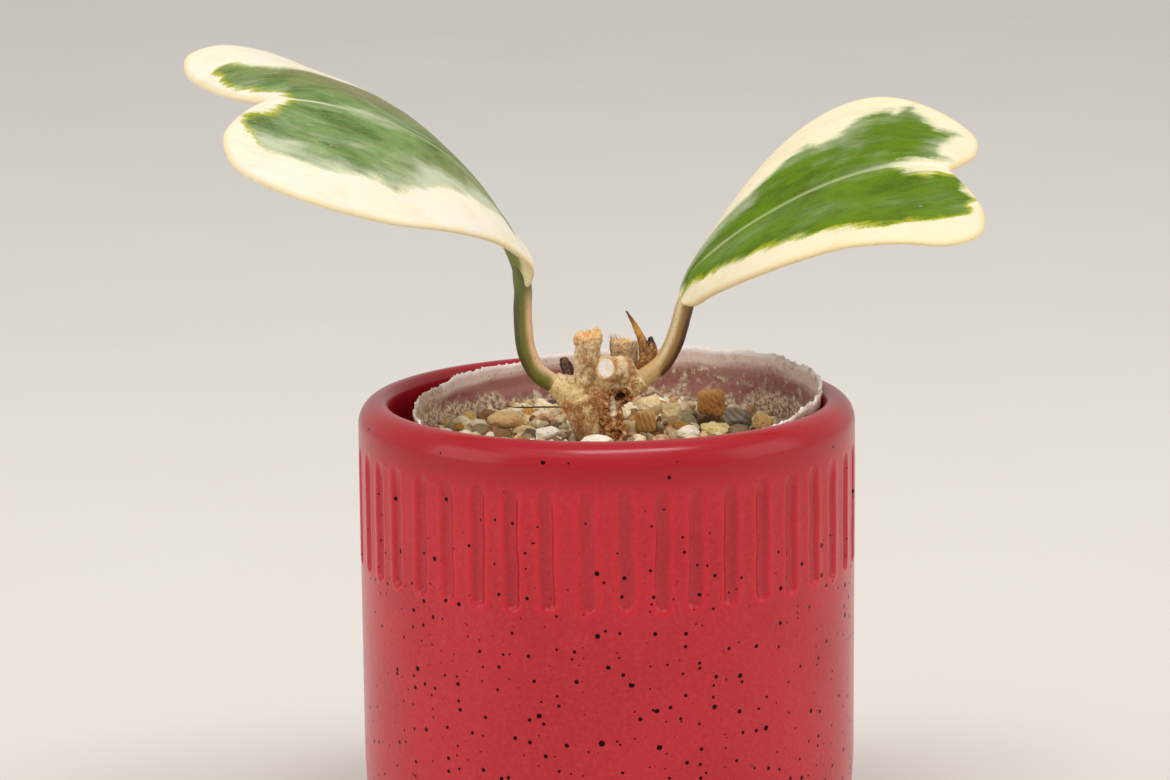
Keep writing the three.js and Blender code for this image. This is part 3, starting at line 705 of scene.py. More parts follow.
draw = seeded(2024)
inside = (cup_radius(GRIT_TOP) - 0.8 * MM) / MM - 0.3
spread = []
for k in range(GRIT_TRIES):
    if len(spread) == GRIT_STONES:
        break
    size = GRIT_SMALL + (GRIT_LARGE - GRIT_SMALL) * next(draw) ** 1.6
    reach = (inside - 1.12 * size) * math.sqrt(next(draw))
    turn = 2 * math.pi * next(draw)
    x, y = cup_centre / MM + reach * math.cos(turn), reach * math.sin(turn)
    if all(math.hypot(ox - x, oy - y) > 0.78 * (osize + size) for ox, oy, osize in spread):
        spread.append((x, y, size))

models = [rough_stone("broken_stone", 40 + k, 3, 9) for k in range(9)]
small_models = [rough_stone("small_stone", 70 + k, 2, 7) for k in range(6)]
tones = [tint(code) for code, share in STONE_TONES for _ in range(share)]
picks = random.Random(5)
stones = [fines]
for k, (x, y, size) in enumerate(spread):
    at = (x * MM, y * MM, GRIT_TOP + 0.12 * size * next(draw) * MM)
    tilt = (0.3 * (next(draw) - 0.5), 0.3 * (next(draw) - 0.5), 2 * math.pi * next(draw))
    half = (size * MM, size * 0.85 * MM, size * 0.62 * MM)
    if room_at(at[0], at[1]):
        stones.append(placed_copy(models[k % len(models)], half, tilt, at))
        tinge(stones[-1], picks.choice(tones))
for count, largest, highest, at_wall in SMALL_STONES:
    for k in range(count):
        size = picks.uniform(SMALL_STONE, largest) * MM
        if at_wall:
            reach = (inside + 0.6) * MM - 0.8 * size
        else:
            reach = (inside * MM - size) * math.sqrt(picks.random())
        turn = picks.uniform(0, 2 * math.pi)
        x, y = cup_centre + reach * math.cos(turn), reach * math.sin(turn)
        at = (x, y, picks.uniform(89.2, highest) * MM)
        tilt = [picks.uniform(0, 6.28) for _ in range(3)]
        if at_wall or room_at(x, y):
            half = (size, size * 0.85, size * 0.7)
            stones.append(placed_copy(small_models[k % len(small_models)], half, tilt, at))
            tinge(stones[-1], picks.choice(tones))
for model in models + small_models:
    bpy.data.objects.remove(model)
grit = merged("grit_layer", stones)
bpy.ops.object.shade_smooth_by_angle(angle=math.radians(30))
stone_finish(grit, "mixed_grit", 0.25, 0.35)
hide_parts("grit_bed")
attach(grit, "root")


# Larger stones. Eleven stones on the grit that are big enough to know apart: a smooth tan
# kidney, white quartz, ribbed ochre sandstone, a pitted block, a banded grey one and others.
# Each lies loose where it was dropped.
LARGE_STONES = (
    ("stone_tan_long", "E4C08A", "stone_tan", 3, 0.05, 0),
    ("stone_white_block", "F3EFE6", "stone_white", 9, 0.05, 0),
    ("stone_white_front", "F4EFE2", "stone_white", 8, 0.06, 0),
    ("stone_tan_arch", "F0DCB0", "stone_tan", 5, 0.09, 0),
    ("stone_cream_fin", "F2E0B0", "stone_cream", 7, 0.1, 0.25),
    ("stone_ochre_chunk", "EFC27A", "stone_ochre", 3, 0.05, 0.35),
    ("stone_ochre_block", "D9A05C", "stone_ochre", 3, 0.06, 0.3),
    ("stone_grey_banded", "A39C94", "stone_grey", 7, 0.07, 0.7),
    ("stone_white_round", "F1E9DC", "stone_white", 4, 0.05, 0),
    ("stone_yellow_flat", "F0DCA0", "stone_cream", 7, 0.09, 0.15),
    ("stone_orange_cream", "E8C080", "stone_ochre", 6, 0.09, 0.2),
)
RIBBED_BLOCKS = ("stone_ochre_chunk", "stone_ochre_block")
BLOCK_POWER = 5
RIB_STEP = 1.05 * MM
RIB_SLANT = 0.35
RIB_DEPTH = 0.13 * MM
PIT_DEPTH = 0.35 * MM

for k, (node, code, slot, flats, bumps, banded) in enumerate(LARGE_STONES):
    low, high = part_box(node)
    stone = rough_stone(node + "_surface", 120 + k, 5, flats, bumps)
    places = corners(stone)
    if node in RIBBED_BLOCKS:
        ways = places / np.linalg.norm(places, axis=1, keepdims=True)
        places *= (np.abs(ways) ** BLOCK_POWER).sum(1)[:, None] ** (-1 / BLOCK_POWER)
    places -= (places.max(0) + places.min(0)) / 2
    places *= np.array(high - low) / (places.max(0) - places.min(0))
    places += np.array(low + high) / 2
    if node in RIBBED_BLOCKS:
        ribs = np.sin(2 * math.pi * (places[:, 0] + RIB_SLANT * places[:, 2]) / RIB_STEP)
        places[:, 1] += RIB_DEPTH * ribs * np.sign(places[:, 1] - (low.y + high.y) / 2)
    if node == "stone_ochre_block":
        pits = noise_at(places, 0.7 * MM, 9)
        places[:, 2] -= PIT_DEPTH * rise(pits, 0.15, 0.5)
    move_corners(stone, places)
    tinge(stone, tint(code))
    bpy.ops.object.shade_smooth()
    stone_finish(stone, node + "_finish", banded, 0.25)
    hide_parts(node)
    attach(stone, "root")


# Woody stem. The plant's old stem, cut back hard: a smooth tan trunk with a crumbling root crust
# down its right side, two arms that carry the leaf stalks, and stubs where shoots were pruned.
# It grew as one piece; the stub at the front has a fresh white cut.
STEM_VOXEL = 0.24 * MM
FRESH_CUT = Vector((-0.2, -5.4, 107.6)) * MM
FRESH_CUT_FACING = Vector((-0.5, -0.8, 0.16)).normalized()
FRESH_CUT_RADIUS = 2.25 * MM
FRESH_CUT_BACK = 0.35 * MM
STEM_LIMBS = (
    (
        [(-1.6, 1.8, 66), (-1.8, 1.5, 80), (-2.4, 1, 89), (-4, 0.6, 94.5), (-6, 0.2, 100.5)],
        [3.4, 5.2, 5, 3.6, 3.9],
    ),
    ([(0.6, 0.6, 84), (1, 0, 91), (0.5, -0.6, 97), (-0.4, -0.4, 103)], [3, 2.9, 2.6, 2.4]),
    ([(-5.6, 0.2, 98.6), (-8.4, 0, 101.4), (-11.4, -0.4, 103.7)], [3.6, 3.1, 2.2]),
    ([(-8, 0, 100.5), (-8.5, 0, 103.6), (-8.5, 0, 105)], [2.6, 2.4, 1.2]),
    ([(-4.8, 0.3, 98), (-4.2, 0, 105), (-3.7, -0.3, 113.8)], [3.3, 2.7, 3]),
    ([(-3, 0.6, 100.5), (0.5, 0.8, 103.5), (3.6, 0.8, 104.8)], [3.2, 3, 2.8]),
    ([(4.4, 1.6, 105), (2.4, -1.4, 106.3), (-0.2, -5.4, 107.6)], [2.8, 3, 2.4]),
    ([(2.6, 2.2, 102), (3.7, 3.8, 107), (3.9, 4.2, 111.6)], [2.8, 2.9, 3.05]),
    ([(0, 0.8, 100.8), (3.8, 0.6, 101.9), (8, 0.2, 104.2)], [3, 2.9, 2.15]),
)
CRUST = (((1.4, -0.6, 95.5), (4.6, 7, 10), 1), ((3.4, 0.4, 101), (3.2, 5, 2.8), 1))
CROWNS = (((-3.9, -0.3, 114.2), (4.8, 4.8, 4.6), 1), ((3.6, 4, 111.9), (4.4, 4.4, 1.6), 0.8))
CROWN_TOP = (((-3.8, -0.3, 113.8), (4, 4, 2), 1),)
HOLLOW = (((3.2, -2.6, 100.4), (1.7, 2.6, 1.4), 1),)
PALE_SEAM = (((1.4, -3.4, 98.6), (0.9, 2.6, 3.4), 1), ((2.1, -3, 103), (1.3, 2.4, 0.8), 1))
YELLOW = (((-9, 0, 102), (4.6, 6, 4.8), 1), ((3, -2, 107), (3, 4, 2.2), 0.75))
RUST = (
    ((-1.8, -2.5, 100), (2.8, 4, 4), 1), ((4.6, -1.4, 106.6), (1.4, 3, 3.4), 1),
    ((-8.3, -2, 98.2), (1.6, 3.5, 3), 1), ((-5.6, -3, 95), (3, 4, 3.6), 0.6),
)


def share_of_way(first, second, start, end, at):
    return ((end - at) * first + (at - start) * second) / (end - start)


def smooth_route(points, steps):
    """Even steps along a smooth curve through the points."""
    points = np.asarray(points, float)
    chain = [2 * points[0] - points[1], *points, 2 * points[-1] - points[-2]]
    line = []
    for a, b, c, d in zip(chain, chain[1:], chain[2:], chain[3:]):
        ka = 0
        kb = ka + math.sqrt(np.linalg.norm(b - a))
        kc = kb + math.sqrt(np.linalg.norm(c - b))
        kd = kc + math.sqrt(np.linalg.norm(d - c))
        for at in np.linspace(kb, kc, 40, endpoint=False):
            first = share_of_way(a, b, ka, kb, at)
            second = share_of_way(b, c, kb, kc, at)
            third = share_of_way(c, d, kc, kd, at)
            left = share_of_way(first, second, ka, kc, at)
            right = share_of_way(second, third, kb, kd, at)
            line.append(share_of_way(left, right, kb, kc, at))
    line = np.array([*line, points[-1]])
    run = np.concatenate([[0], np.cumsum(np.linalg.norm(np.diff(line, axis=0), axis=1))])
    even = np.linspace(0, run[-1], steps + 1)
    return np.stack([np.interp(even, run, line[:, k]) for k in range(3)], 1)


def tube(name, route, radii, steps, roundness):
    """Round closed body along a smooth route in millimetres."""
    line = smooth_route(route, steps) * MM
    shape = bpy.data.curves.new(name, "CURVE")
    shape.dimensions = "3D"
    shape.bevel_depth = 1
    shape.bevel_resolution = roundness
    shape.use_fill_caps = True
    spline = shape.splines.new("POLY")
    spline.points.add(steps)
    reach = np.interp(np.linspace(0, 1, steps + 1), np.linspace(0, 1, len(radii)), radii)
    for point, place, radius in zip(spline.points, line, reach):
        point.co = (*place, 1)
        point.radius = radius * MM
    piece = bpy.data.objects.new(name, shape)
    bpy.context.scene.collection.objects.link(piece)
    bpy.ops.object.select_all(action="DESELECT")
    piece.select_set(True)
    bpy.context.view_layer.objects.active = piece
    bpy.ops.object.convert(target="MESH")
    return bpy.context.object


def remeshed(piece, voxel, passes):
    """Makes one even skin of the piece. Gives its corners and their outward directions."""
    applied(piece, "REMESH", mode="VOXEL", voxel_size=voxel)
    applied(piece, "SMOOTH", factor=0.5, iterations=passes)
    ways = np.empty(len(piece.data.vertices) * 3)
    piece.data.vertex_normals.foreach_get("vector", ways)
    return corners(piece), ways.reshape(-1, 3)


def within_spots(places, spots):
    """Each spot's strength at its centre and softly down to 0 at its reach, in millimetres."""
    shares = []
    for centre, reach, strength in spots:
        away = (places - np.array(centre) * MM) / (np.array(reach) * MM)
        shares.append(strength * (1 - rise(np.linalg.norm(away, axis=1), 0.4, 1)))
    return np.max(shares, axis=0)


limbs = [tube("limb", route, radii, 24, 5) for route, radii in STEM_LIMBS]
stem = merged("old_stem", limbs)
places, ways = remeshed(stem, STEM_VOXEL, 7)
crust = within_spots(places, CRUST)
crust *= rise(places[:, 0] + 0.7 * MM * noise_at(places, 2 * MM, 11), -2.6 * MM, -0.9 * MM)
crown = within_spots(places, CROWNS)
hollow = within_spots(places, HOLLOW)
lumps = noise_at(places, 2.4 * MM, 12)
wrinkles = noise_at(places * [1, 1, 0.45], 0.9 * MM, 13)
crumbs = noise_at(places, 0.85 * MM, 14)
grains = noise_at(places, 0.42 * MM, 15)
out = 0.3 * lumps + 0.2 * wrinkles + 0.12 * grains
out += crust * (0.62 * crumbs + 0.4 * grains + 0.2) - 1.5 * hollow
out += crown * (0.4 * crumbs + 0.25 * grains)
places += ways * (out * MM)[:, None]
ragged = np.maximum(noise_at(places * [1, 1, 0], 1.1 * MM, 16), -0.3) * 1.7
top_face = rise(ways[:, 2], 0.3, 0.8) * within_spots(places, CROWN_TOP)
places[:, 2] += top_face * (ragged + 0.16 * (places[:, 0] / MM + 4.2)) * MM
centre, axis = np.array(FRESH_CUT), np.array(FRESH_CUT_FACING)
ahead = (places - centre) @ axis
aside = np.linalg.norm(places - centre - ahead[:, None] * axis, axis=1)
beyond = (ahead > -FRESH_CUT_BACK) & (aside < 1.5 * FRESH_CUT_RADIUS)
trimmed = (ahead[beyond] + FRESH_CUT_BACK) * (1 - 0.06 * rise(aside[beyond], 0, 2 * MM))
places[beyond] -= trimmed[:, None] * axis
fresh = beyond * (1 - rise(aside, FRESH_CUT_RADIUS - 0.45 * MM, FRESH_CUT_RADIUS - 0.1 * MM))
ring = (np.abs(ahead) < 1.2 * MM) * (aside < 1.6 * FRESH_CUT_RADIUS) * (1 - fresh)
move_corners(stem, places)
bpy.ops.object.shade_smooth()
foot = 1 - rise(places[:, 2] + 1.2 * MM * lumps, 90.5 * MM, 96 * MM)
paint(stem, crust=crust, crown=crown, hollow=hollow, fresh=fresh, ring=ring, foot=foot)
paint(stem, pale=within_spots(places, PALE_SEAM), yellow=within_spots(places, YELLOW))
paint(stem, rust=within_spots(places, RUST))

bark = Finish("stem_bark", 0.82)
patches = bark.mask(bark.cloud(380, 6, 0.7), 0.38, 0.62)
grain = bark.cloud(1500, 5, 0.6, bark.mapped(Scale=(1, 1, 0.3)))
fine = bark.cloud(2600, 4, 0.6)
bark.color = bark.mix(patches, "A8702F", "F3D79C")
bark.lay("EACB8C", bark.painted("yellow"))
stubs = bark.mask(bark.along("Z"), 103 * MM, 106 * MM)
bark.lay(bark.mix(patches, "C29A66", "F4E2BC"), stubs, 0.6)
bark.lay("8E815F", bark.mask(bark.cloud(300, 5, 0.7), 0.52, 0.7), 0.4)
bark.lay("B4682C", bark.painted("rust"), bark.mask(fine, 0.3, 0.62))
bark.lay("7C4C28", bark.painted("foot"), 0.85)
bark.lay("84582F", bark.mask(grain, 0.52, 0.66), 0.65)
flecks = bark.mask(bark.cloud(1700), 0.57, 0.66)
bark.lay("F6E6CA", flecks, bark.mask(bark.painted("foot"), 1.2, 0), 0.5)
crumbly = bark.mix(bark.mask(fine, 0.38, 0.62), "85451E", "D08A48")
crumbly = bark.mix(bark.mask(bark.cloud(1000, 5), 0.52, 0.66), crumbly, "E0BC8C")
crumbly = bark.mix(bark.mask(bark.cloud(1000, 2), 0.46, 0.33), crumbly, "2A120A")
bark.lay(crumbly, bark.mask(bark.plus(bark.painted("crust"), bark.times(patches, 0.25)), 0.35, 0.6))
corky = bark.mix(bark.mask(fine, 0.4, 0.6), "DF9A54", "FAD9A0")
bark.lay(corky, bark.mask(bark.plus(bark.painted("crown"), bark.times(fine, 0.4)), 0.55, 0.85))
bark.lay("F0E0C2", bark.painted("pale"), bark.mask(fine, 0.28, 0.5))
bark.lay(bark.mix(patches, "C78744", "EBCB94"), bark.painted("ring"))
# The hollow is painted near-black: painted shade in the recess.
bark.lay("1C0B07", bark.painted("hollow"))
bark.lay("5B3F2A", spots(bark, 900, 0.26, 0.4), 0.7)
cut_face = bark.mix(bark.mask(bark.cloud(700), 0.4, 0.7), "F6EAD6", "FFFBF2")
bark.lay(cut_face, bark.painted("fresh"))
bark.on(stem, bark.plus(grain, bark.times(fine, 0.7)), 0.34 * MM, 0.9)
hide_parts("woody_stem")
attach(stem, "root")


# Leaf stalks. Two smooth fleshy stalks that spring from sockets in the stem's arms and curve up
# to the blades. The left one is green on its outer side and tan on its inner one; the right one
# is straw-coloured with a dark brown outer side. These tones are laid by the way the surface
# faces, so they are partly the stalks' own colours and partly painted shade on the dark side,
# a painted highlight band across from it and painted shade on the far edge beyond the band.
# Both are joined to the stem by growth.
STALK_RADIUS = 1.9
STALK_TAPER = 0.08
STALK_VOXEL = 0.2 * MM
STALKS = (
    ("left", (-0.95, -0.3, 0), "46460F", "6E7022", "E2B88C", [
        (-9.9, -0.3, 102.9), (-11.6, -0.3, 103.6), (-14.6, 0, 105.8), (-16.5, 0, 109.5),
        (-17.3, 0, 114), (-17.5, 0, 119), (-17.4, 0, 123.9), (-18.2, 0.5, 127.8), (-20.4, 1.4, 133),
    ], 0.74),
    ("right", (0.9, -0.2, -0.6), "4A2C14", "9A7238", "D6C294", [
        (7, 0.2, 103.6), (8.6, 0.2, 104.7), (11.7, 0, 107.2), (13.7, 0, 110.3),
        (15.2, 0, 114.3), (16.65, 0.2, 119.6), (17.6, 0.8, 122.4), (19.2, 1.4, 124.6),
    ], 0.76),
)

for side, dark_way, dark, middle_tone, light, route, free_share in STALKS:
    way = np.linspace(0, 1, 41)
    radii = STALK_RADIUS * (1 + STALK_TAPER * (1 - way)) * (1 - 0.85 * rise(way, free_share, 1))
    stalk = tube("stalk_" + side, route, radii, 110, 14)
    places, ways = remeshed(stalk, STALK_VOXEL, 5)
    uneven = 0.07 * noise_at(places, 3 * MM, 21) + 0.05 * noise_at(places * [1, 1, 0.3], 0.8 * MM, 22)
    places += ways * (uneven * MM)[:, None]
    move_corners(stalk, places)
    bpy.ops.object.shade_smooth()
    # Facing value for the stalk's tones: high on the side painted dark, partly as shade, and low on the
    # side painted light, partly as a highlight.
    outer_side = ways @ np.array(dark_way) + 0.08 * noise_at(places * [1, 1, 0.3], 3 * MM, 23)
    socket = 1 - rise(np.abs(places[:, 0]), 9.2 * MM, 13.2 * MM)
    paint(stalk, socket=socket, outer_side=outer_side)
    skin = Finish("stalk_skin_" + side, 0.42)
    streaks = skin.cloud(1300, 4, 0.6, skin.mapped(Scale=(1, 1, 0.2)))
    outer = skin.plus(skin.painted("outer_side"), skin.times(streaks, 0.4))
    # Light band, middle tone and dark side: partly the stalk's own colours, partly painted highlight
    # and painted shade. A8784C is painted shade on the far edge beyond the light band.
    skin.color = skin.mix(skin.mask(outer, -0.25, 0.5), light, middle_tone)
    skin.lay(dark, skin.mask(outer, 0.55, 1.1))
    skin.lay("A8784C", skin.mask(outer, -0.3, -0.85), 0.6)
    mottled = skin.plus(skin.painted("socket"), skin.times(skin.cloud(900, 4), 0.5))
    skin.lay("D2B078", skin.mask(mottled, 0.45, 0.95))
    skin.lay("94684A", skin.mask(skin.cloud(1900), 0.58, 0.72), 0.6)
    if side == "left":
        skin.lay("66702E", skin.mask(skin.along("Z"), 119 * MM, 125.5 * MM))
    skin.on(stalk, streaks, 0.1 * MM, 0.6)
    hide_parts("leaf_stalk_" + side)
    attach(stalk, "root")


# Leaf blades. Two thick, fleshy heart-shaped blades, widest towards the notch at their far end.
# They grew variegated: a green heart with ragged streaky edges inside a broad cream margin, with
# a thin yellow-green fringe between and a pale midrib. Patches of grey-green sheen are painted
# over the green, partly the leaf's own grey-green mottling and partly painted reflection.
BLADE_MIDDLE = 2.6 * MM
BLADE_EDGE = 1.3 * MM
BLADE_ROUND = 0.85 * MM
BLADE_ROWS = 230
BLADE_COLUMNS = 30
BLADE_CROWDING = 0.07
BLADE_SWELL_POWER = 0.7
SPINE_STEP = 0.004
FOOT_ROUND = 0.012
RIB_WIDTH = 0.9 * MM
RIB_GROOVE = 0.22 * MM
RIB_UNDER = 0.3 * MM
BLADES = {
    "left": {
        "midrib": [
            (-17.5, -0.2, 124.5), (-19.3, 0.6, 131.8), (-25.5, 3.4, 142.6), (-35.4, 4.5, 152),
            (-47.1, 3.5, 158.6), (-58.5, 1.5, 162.1), (-70, -0.5, 163.3),
        ],
        "near": [
            (-16.2, -1.9, 124.2), (-15.4, -3.6, 128.2), (-21.6, -10, 134.7), (-31.6, -17.5, 138.9),
            (-44.1, -22.3, 141.5), (-58.2, -23.8, 145.6), (-69.4, -21.3, 149.5), (-76.3, -17, 153.2),
            (-78.4, -12.5, 158.2), (-75.2, -7, 161.8), (-70, -0.5, 163.3),
        ],
        "far": [
            (-16.4, 1.6, 124.2), (-15.6, 3, 129), (-20.8, 9.5, 135), (-29.7, 19, 142.4),
            (-42.2, 26.5, 153.5), (-51.2, 28.5, 161.3), (-63.7, 27, 166.9), (-74, 23.5, 171.4),
            (-82.6, 19, 173), (-88.4, 13.8, 171.2), (-87.6, 9.8, 167.8), (-80.5, 5.2, 164.6),
            (-70, -0.5, 163.3),
        ],
        "camber": (2.2, 1.4),
        "tones": ("446A2C", "7A9A58", "85794A", "EAE4D3", "7F8A4C"),
        "green": [
            (0.085, 0.1), (0.19, 0), (0.2, -0.16), (0.26, -0.43), (0.32, -0.43), (0.39, -0.47),
            (0.42, -0.6), (0.465, -0.7), (0.515, -0.66), (0.56, -0.7), (0.625, -0.76), (0.7, -0.76),
            (0.75, -0.79), (0.81, -0.78), (0.885, -0.86), (0.89, -0.89), (0.877, -0.73), (0.857, -0.59),
            (0.851, -0.51), (0.861, -0.41), (0.88, -0.31), (0.93, -0.1), (0.903, 0.13), (0.88, 0.28),
            (0.883, 0.36), (0.895, 0.44), (0.88, 0.51), (0.88, 0.67), (0.88, 0.775), (0.847, 0.756),
            (0.825, 0.79), (0.825, 0.81), (0.797, 0.76), (0.777, 0.725), (0.76, 0.66), (0.73, 0.6),
            (0.675, 0.6), (0.635, 0.6), (0.545, 0.775), (0.477, 0.85), (0.4, 0.84), (0.3, 0.8),
            (0.2, 0.7), (0.12, 0.4),
        ],
    },
    "right": {
        "midrib": [
            (16.9, -0.4, 120.9), (18.9, 0.5, 126), (24.5, 0.9, 131.2), (36.3, 1, 139.1),
            (48.3, 0.4, 145), (60.5, -0.5, 148.5), (71.9, -1.5, 147.9),
        ],
        "near": [
            (15.9, -2.4, 120.4), (18.4, -4.4, 120.4), (22.4, -8, 123.4), (30.9, -14, 128.3),
            (40.2, -18.7, 132.5), (49.5, -21.5, 135.5), (60, -22.6, 136.5), (70.6, -21.3, 135.8),
            (77.4, -17.5, 137.5), (78.3, -13.5, 140.9), (76.3, -8.3, 144.1), (71.9, -1.5, 147.9),
        ],
        "far": [
            (15.3, 1.2, 120.5), (17, 4, 124.6), (24.5, 12, 135.4), (34.5, 18, 147.2),
            (44.4, 20.9, 155.4), (54.3, 21, 159.9), (62.5, 19, 160.6), (71.9, 14.4, 157.8),
            (78.4, 8, 153.2), (77.8, 3.6, 150.3), (71.9, -1.5, 147.9),
        ],
        "camber": (1.6, 1.2),
        "tones": ("486002", "608002", "5C7A12", "EBE0C0", "6E7028"),
        "green": [
            (0.01, -0.02), (0.023, 1), (0.105, 0.85), (0.225, 0.625), (0.32, 0.51), (0.39, 0.525),
            (0.437, 0.58), (0.5, 0.59), (0.535, 0.52), (0.58, 0.525), (0.595, 0.606), (0.605, 0.69),
            (0.625, 0.76), (0.66, 0.81), (0.683, 0.825), (0.693, 0.77), (0.701, 0.906), (0.712, 0.95),
            (0.723, 0.875), (0.755, 0.825), (0.8, 0.775), (0.843, 0.86), (0.857, 0.84), (0.857, 0.59),
            (0.867, 0.475), (0.895, 0.41), (0.943, 0.57), (0.931, 0.31), (0.905, 0.18), (0.875, 0.075),
            (0.851, 0.03), (0.82, -0.02), (0.825, -0.12), (0.837, -0.2), (0.849, -0.29), (0.9, -0.36),
            (0.987, -0.95), (0.957, -0.97), (0.89, -0.84), (0.86, -0.9), (0.83, -0.84), (0.8, -0.84),
            (0.78, -0.78), (0.74, -0.725), (0.7, -0.73), (0.667, -0.725), (0.62, -0.76), (0.585, -0.8),
            (0.54, -0.756), (0.485, -0.744), (0.425, -0.75), (0.38, -0.71), (0.3, -0.675),
            (0.21, -0.66), (0.11, -0.58), (0.037, -0.14),
        ],
    },
}


def distance_to(places, line):
    """Distance from each place to the nearest point of a finely stepped line."""
    nearest = np.full(len(places), np.inf)
    for first in range(0, len(line), 40):
        gap = places[:, None, :] - line[None, first:first + 40, :]
        nearest = np.minimum(nearest, np.sqrt((gap ** 2).sum(2).min(1)))
    return nearest


def within(flat, outline):
    """True where a flat place is inside the closed outline."""
    inside = np.zeros(len(flat), bool)
    for (ax, ay), (bx, by) in zip(outline, outline[1:] + outline[:1]):
        crosses = (ay > flat[:, 1]) != (by > flat[:, 1])
        slope = (bx - ax) / (by - ay) if by != ay else 0
        inside ^= crosses & (flat[:, 0] < ax + (flat[:, 1] - ay) * slope)
    return inside


def along_line(line, share):
    """Place on a stepped line at a share of its length."""
    at = np.clip(share, 0, 1) * (len(line) - 1)
    return np.stack([np.interp(at, np.arange(len(line)), line[:, k]) for k in range(3)], 1)


def blade_sheet(spine, near, far, camber, u, across):
    """Middle surface of a blade at u along it and from -1, the near margin, to 1, the far one."""
    share = np.abs(across)[:, None]
    on_spine = along_line(spine, u)
    margin = np.where(across[:, None] < 0, along_line(near, u), along_line(far, u))
    width = along_line(far, u) - along_line(near, u)
    ahead = along_line(spine, u + SPINE_STEP) - along_line(spine, u - SPINE_STEP)
    up = np.cross(ahead, width)
    up *= np.sign(up[:, 2:3])
    up /= np.maximum(np.linalg.norm(up, axis=1, keepdims=True), 1e-12)
    crest = np.where(across < 0, camber[0], camber[1]) * MM
    swell = np.sin(math.pi * share[:, 0]) * np.sin(math.pi * np.clip(u, 0, 1)) ** BLADE_SWELL_POWER
    place = on_spine * (1 - share) + margin * share + up * (crest * swell)[:, None]
    return place, up


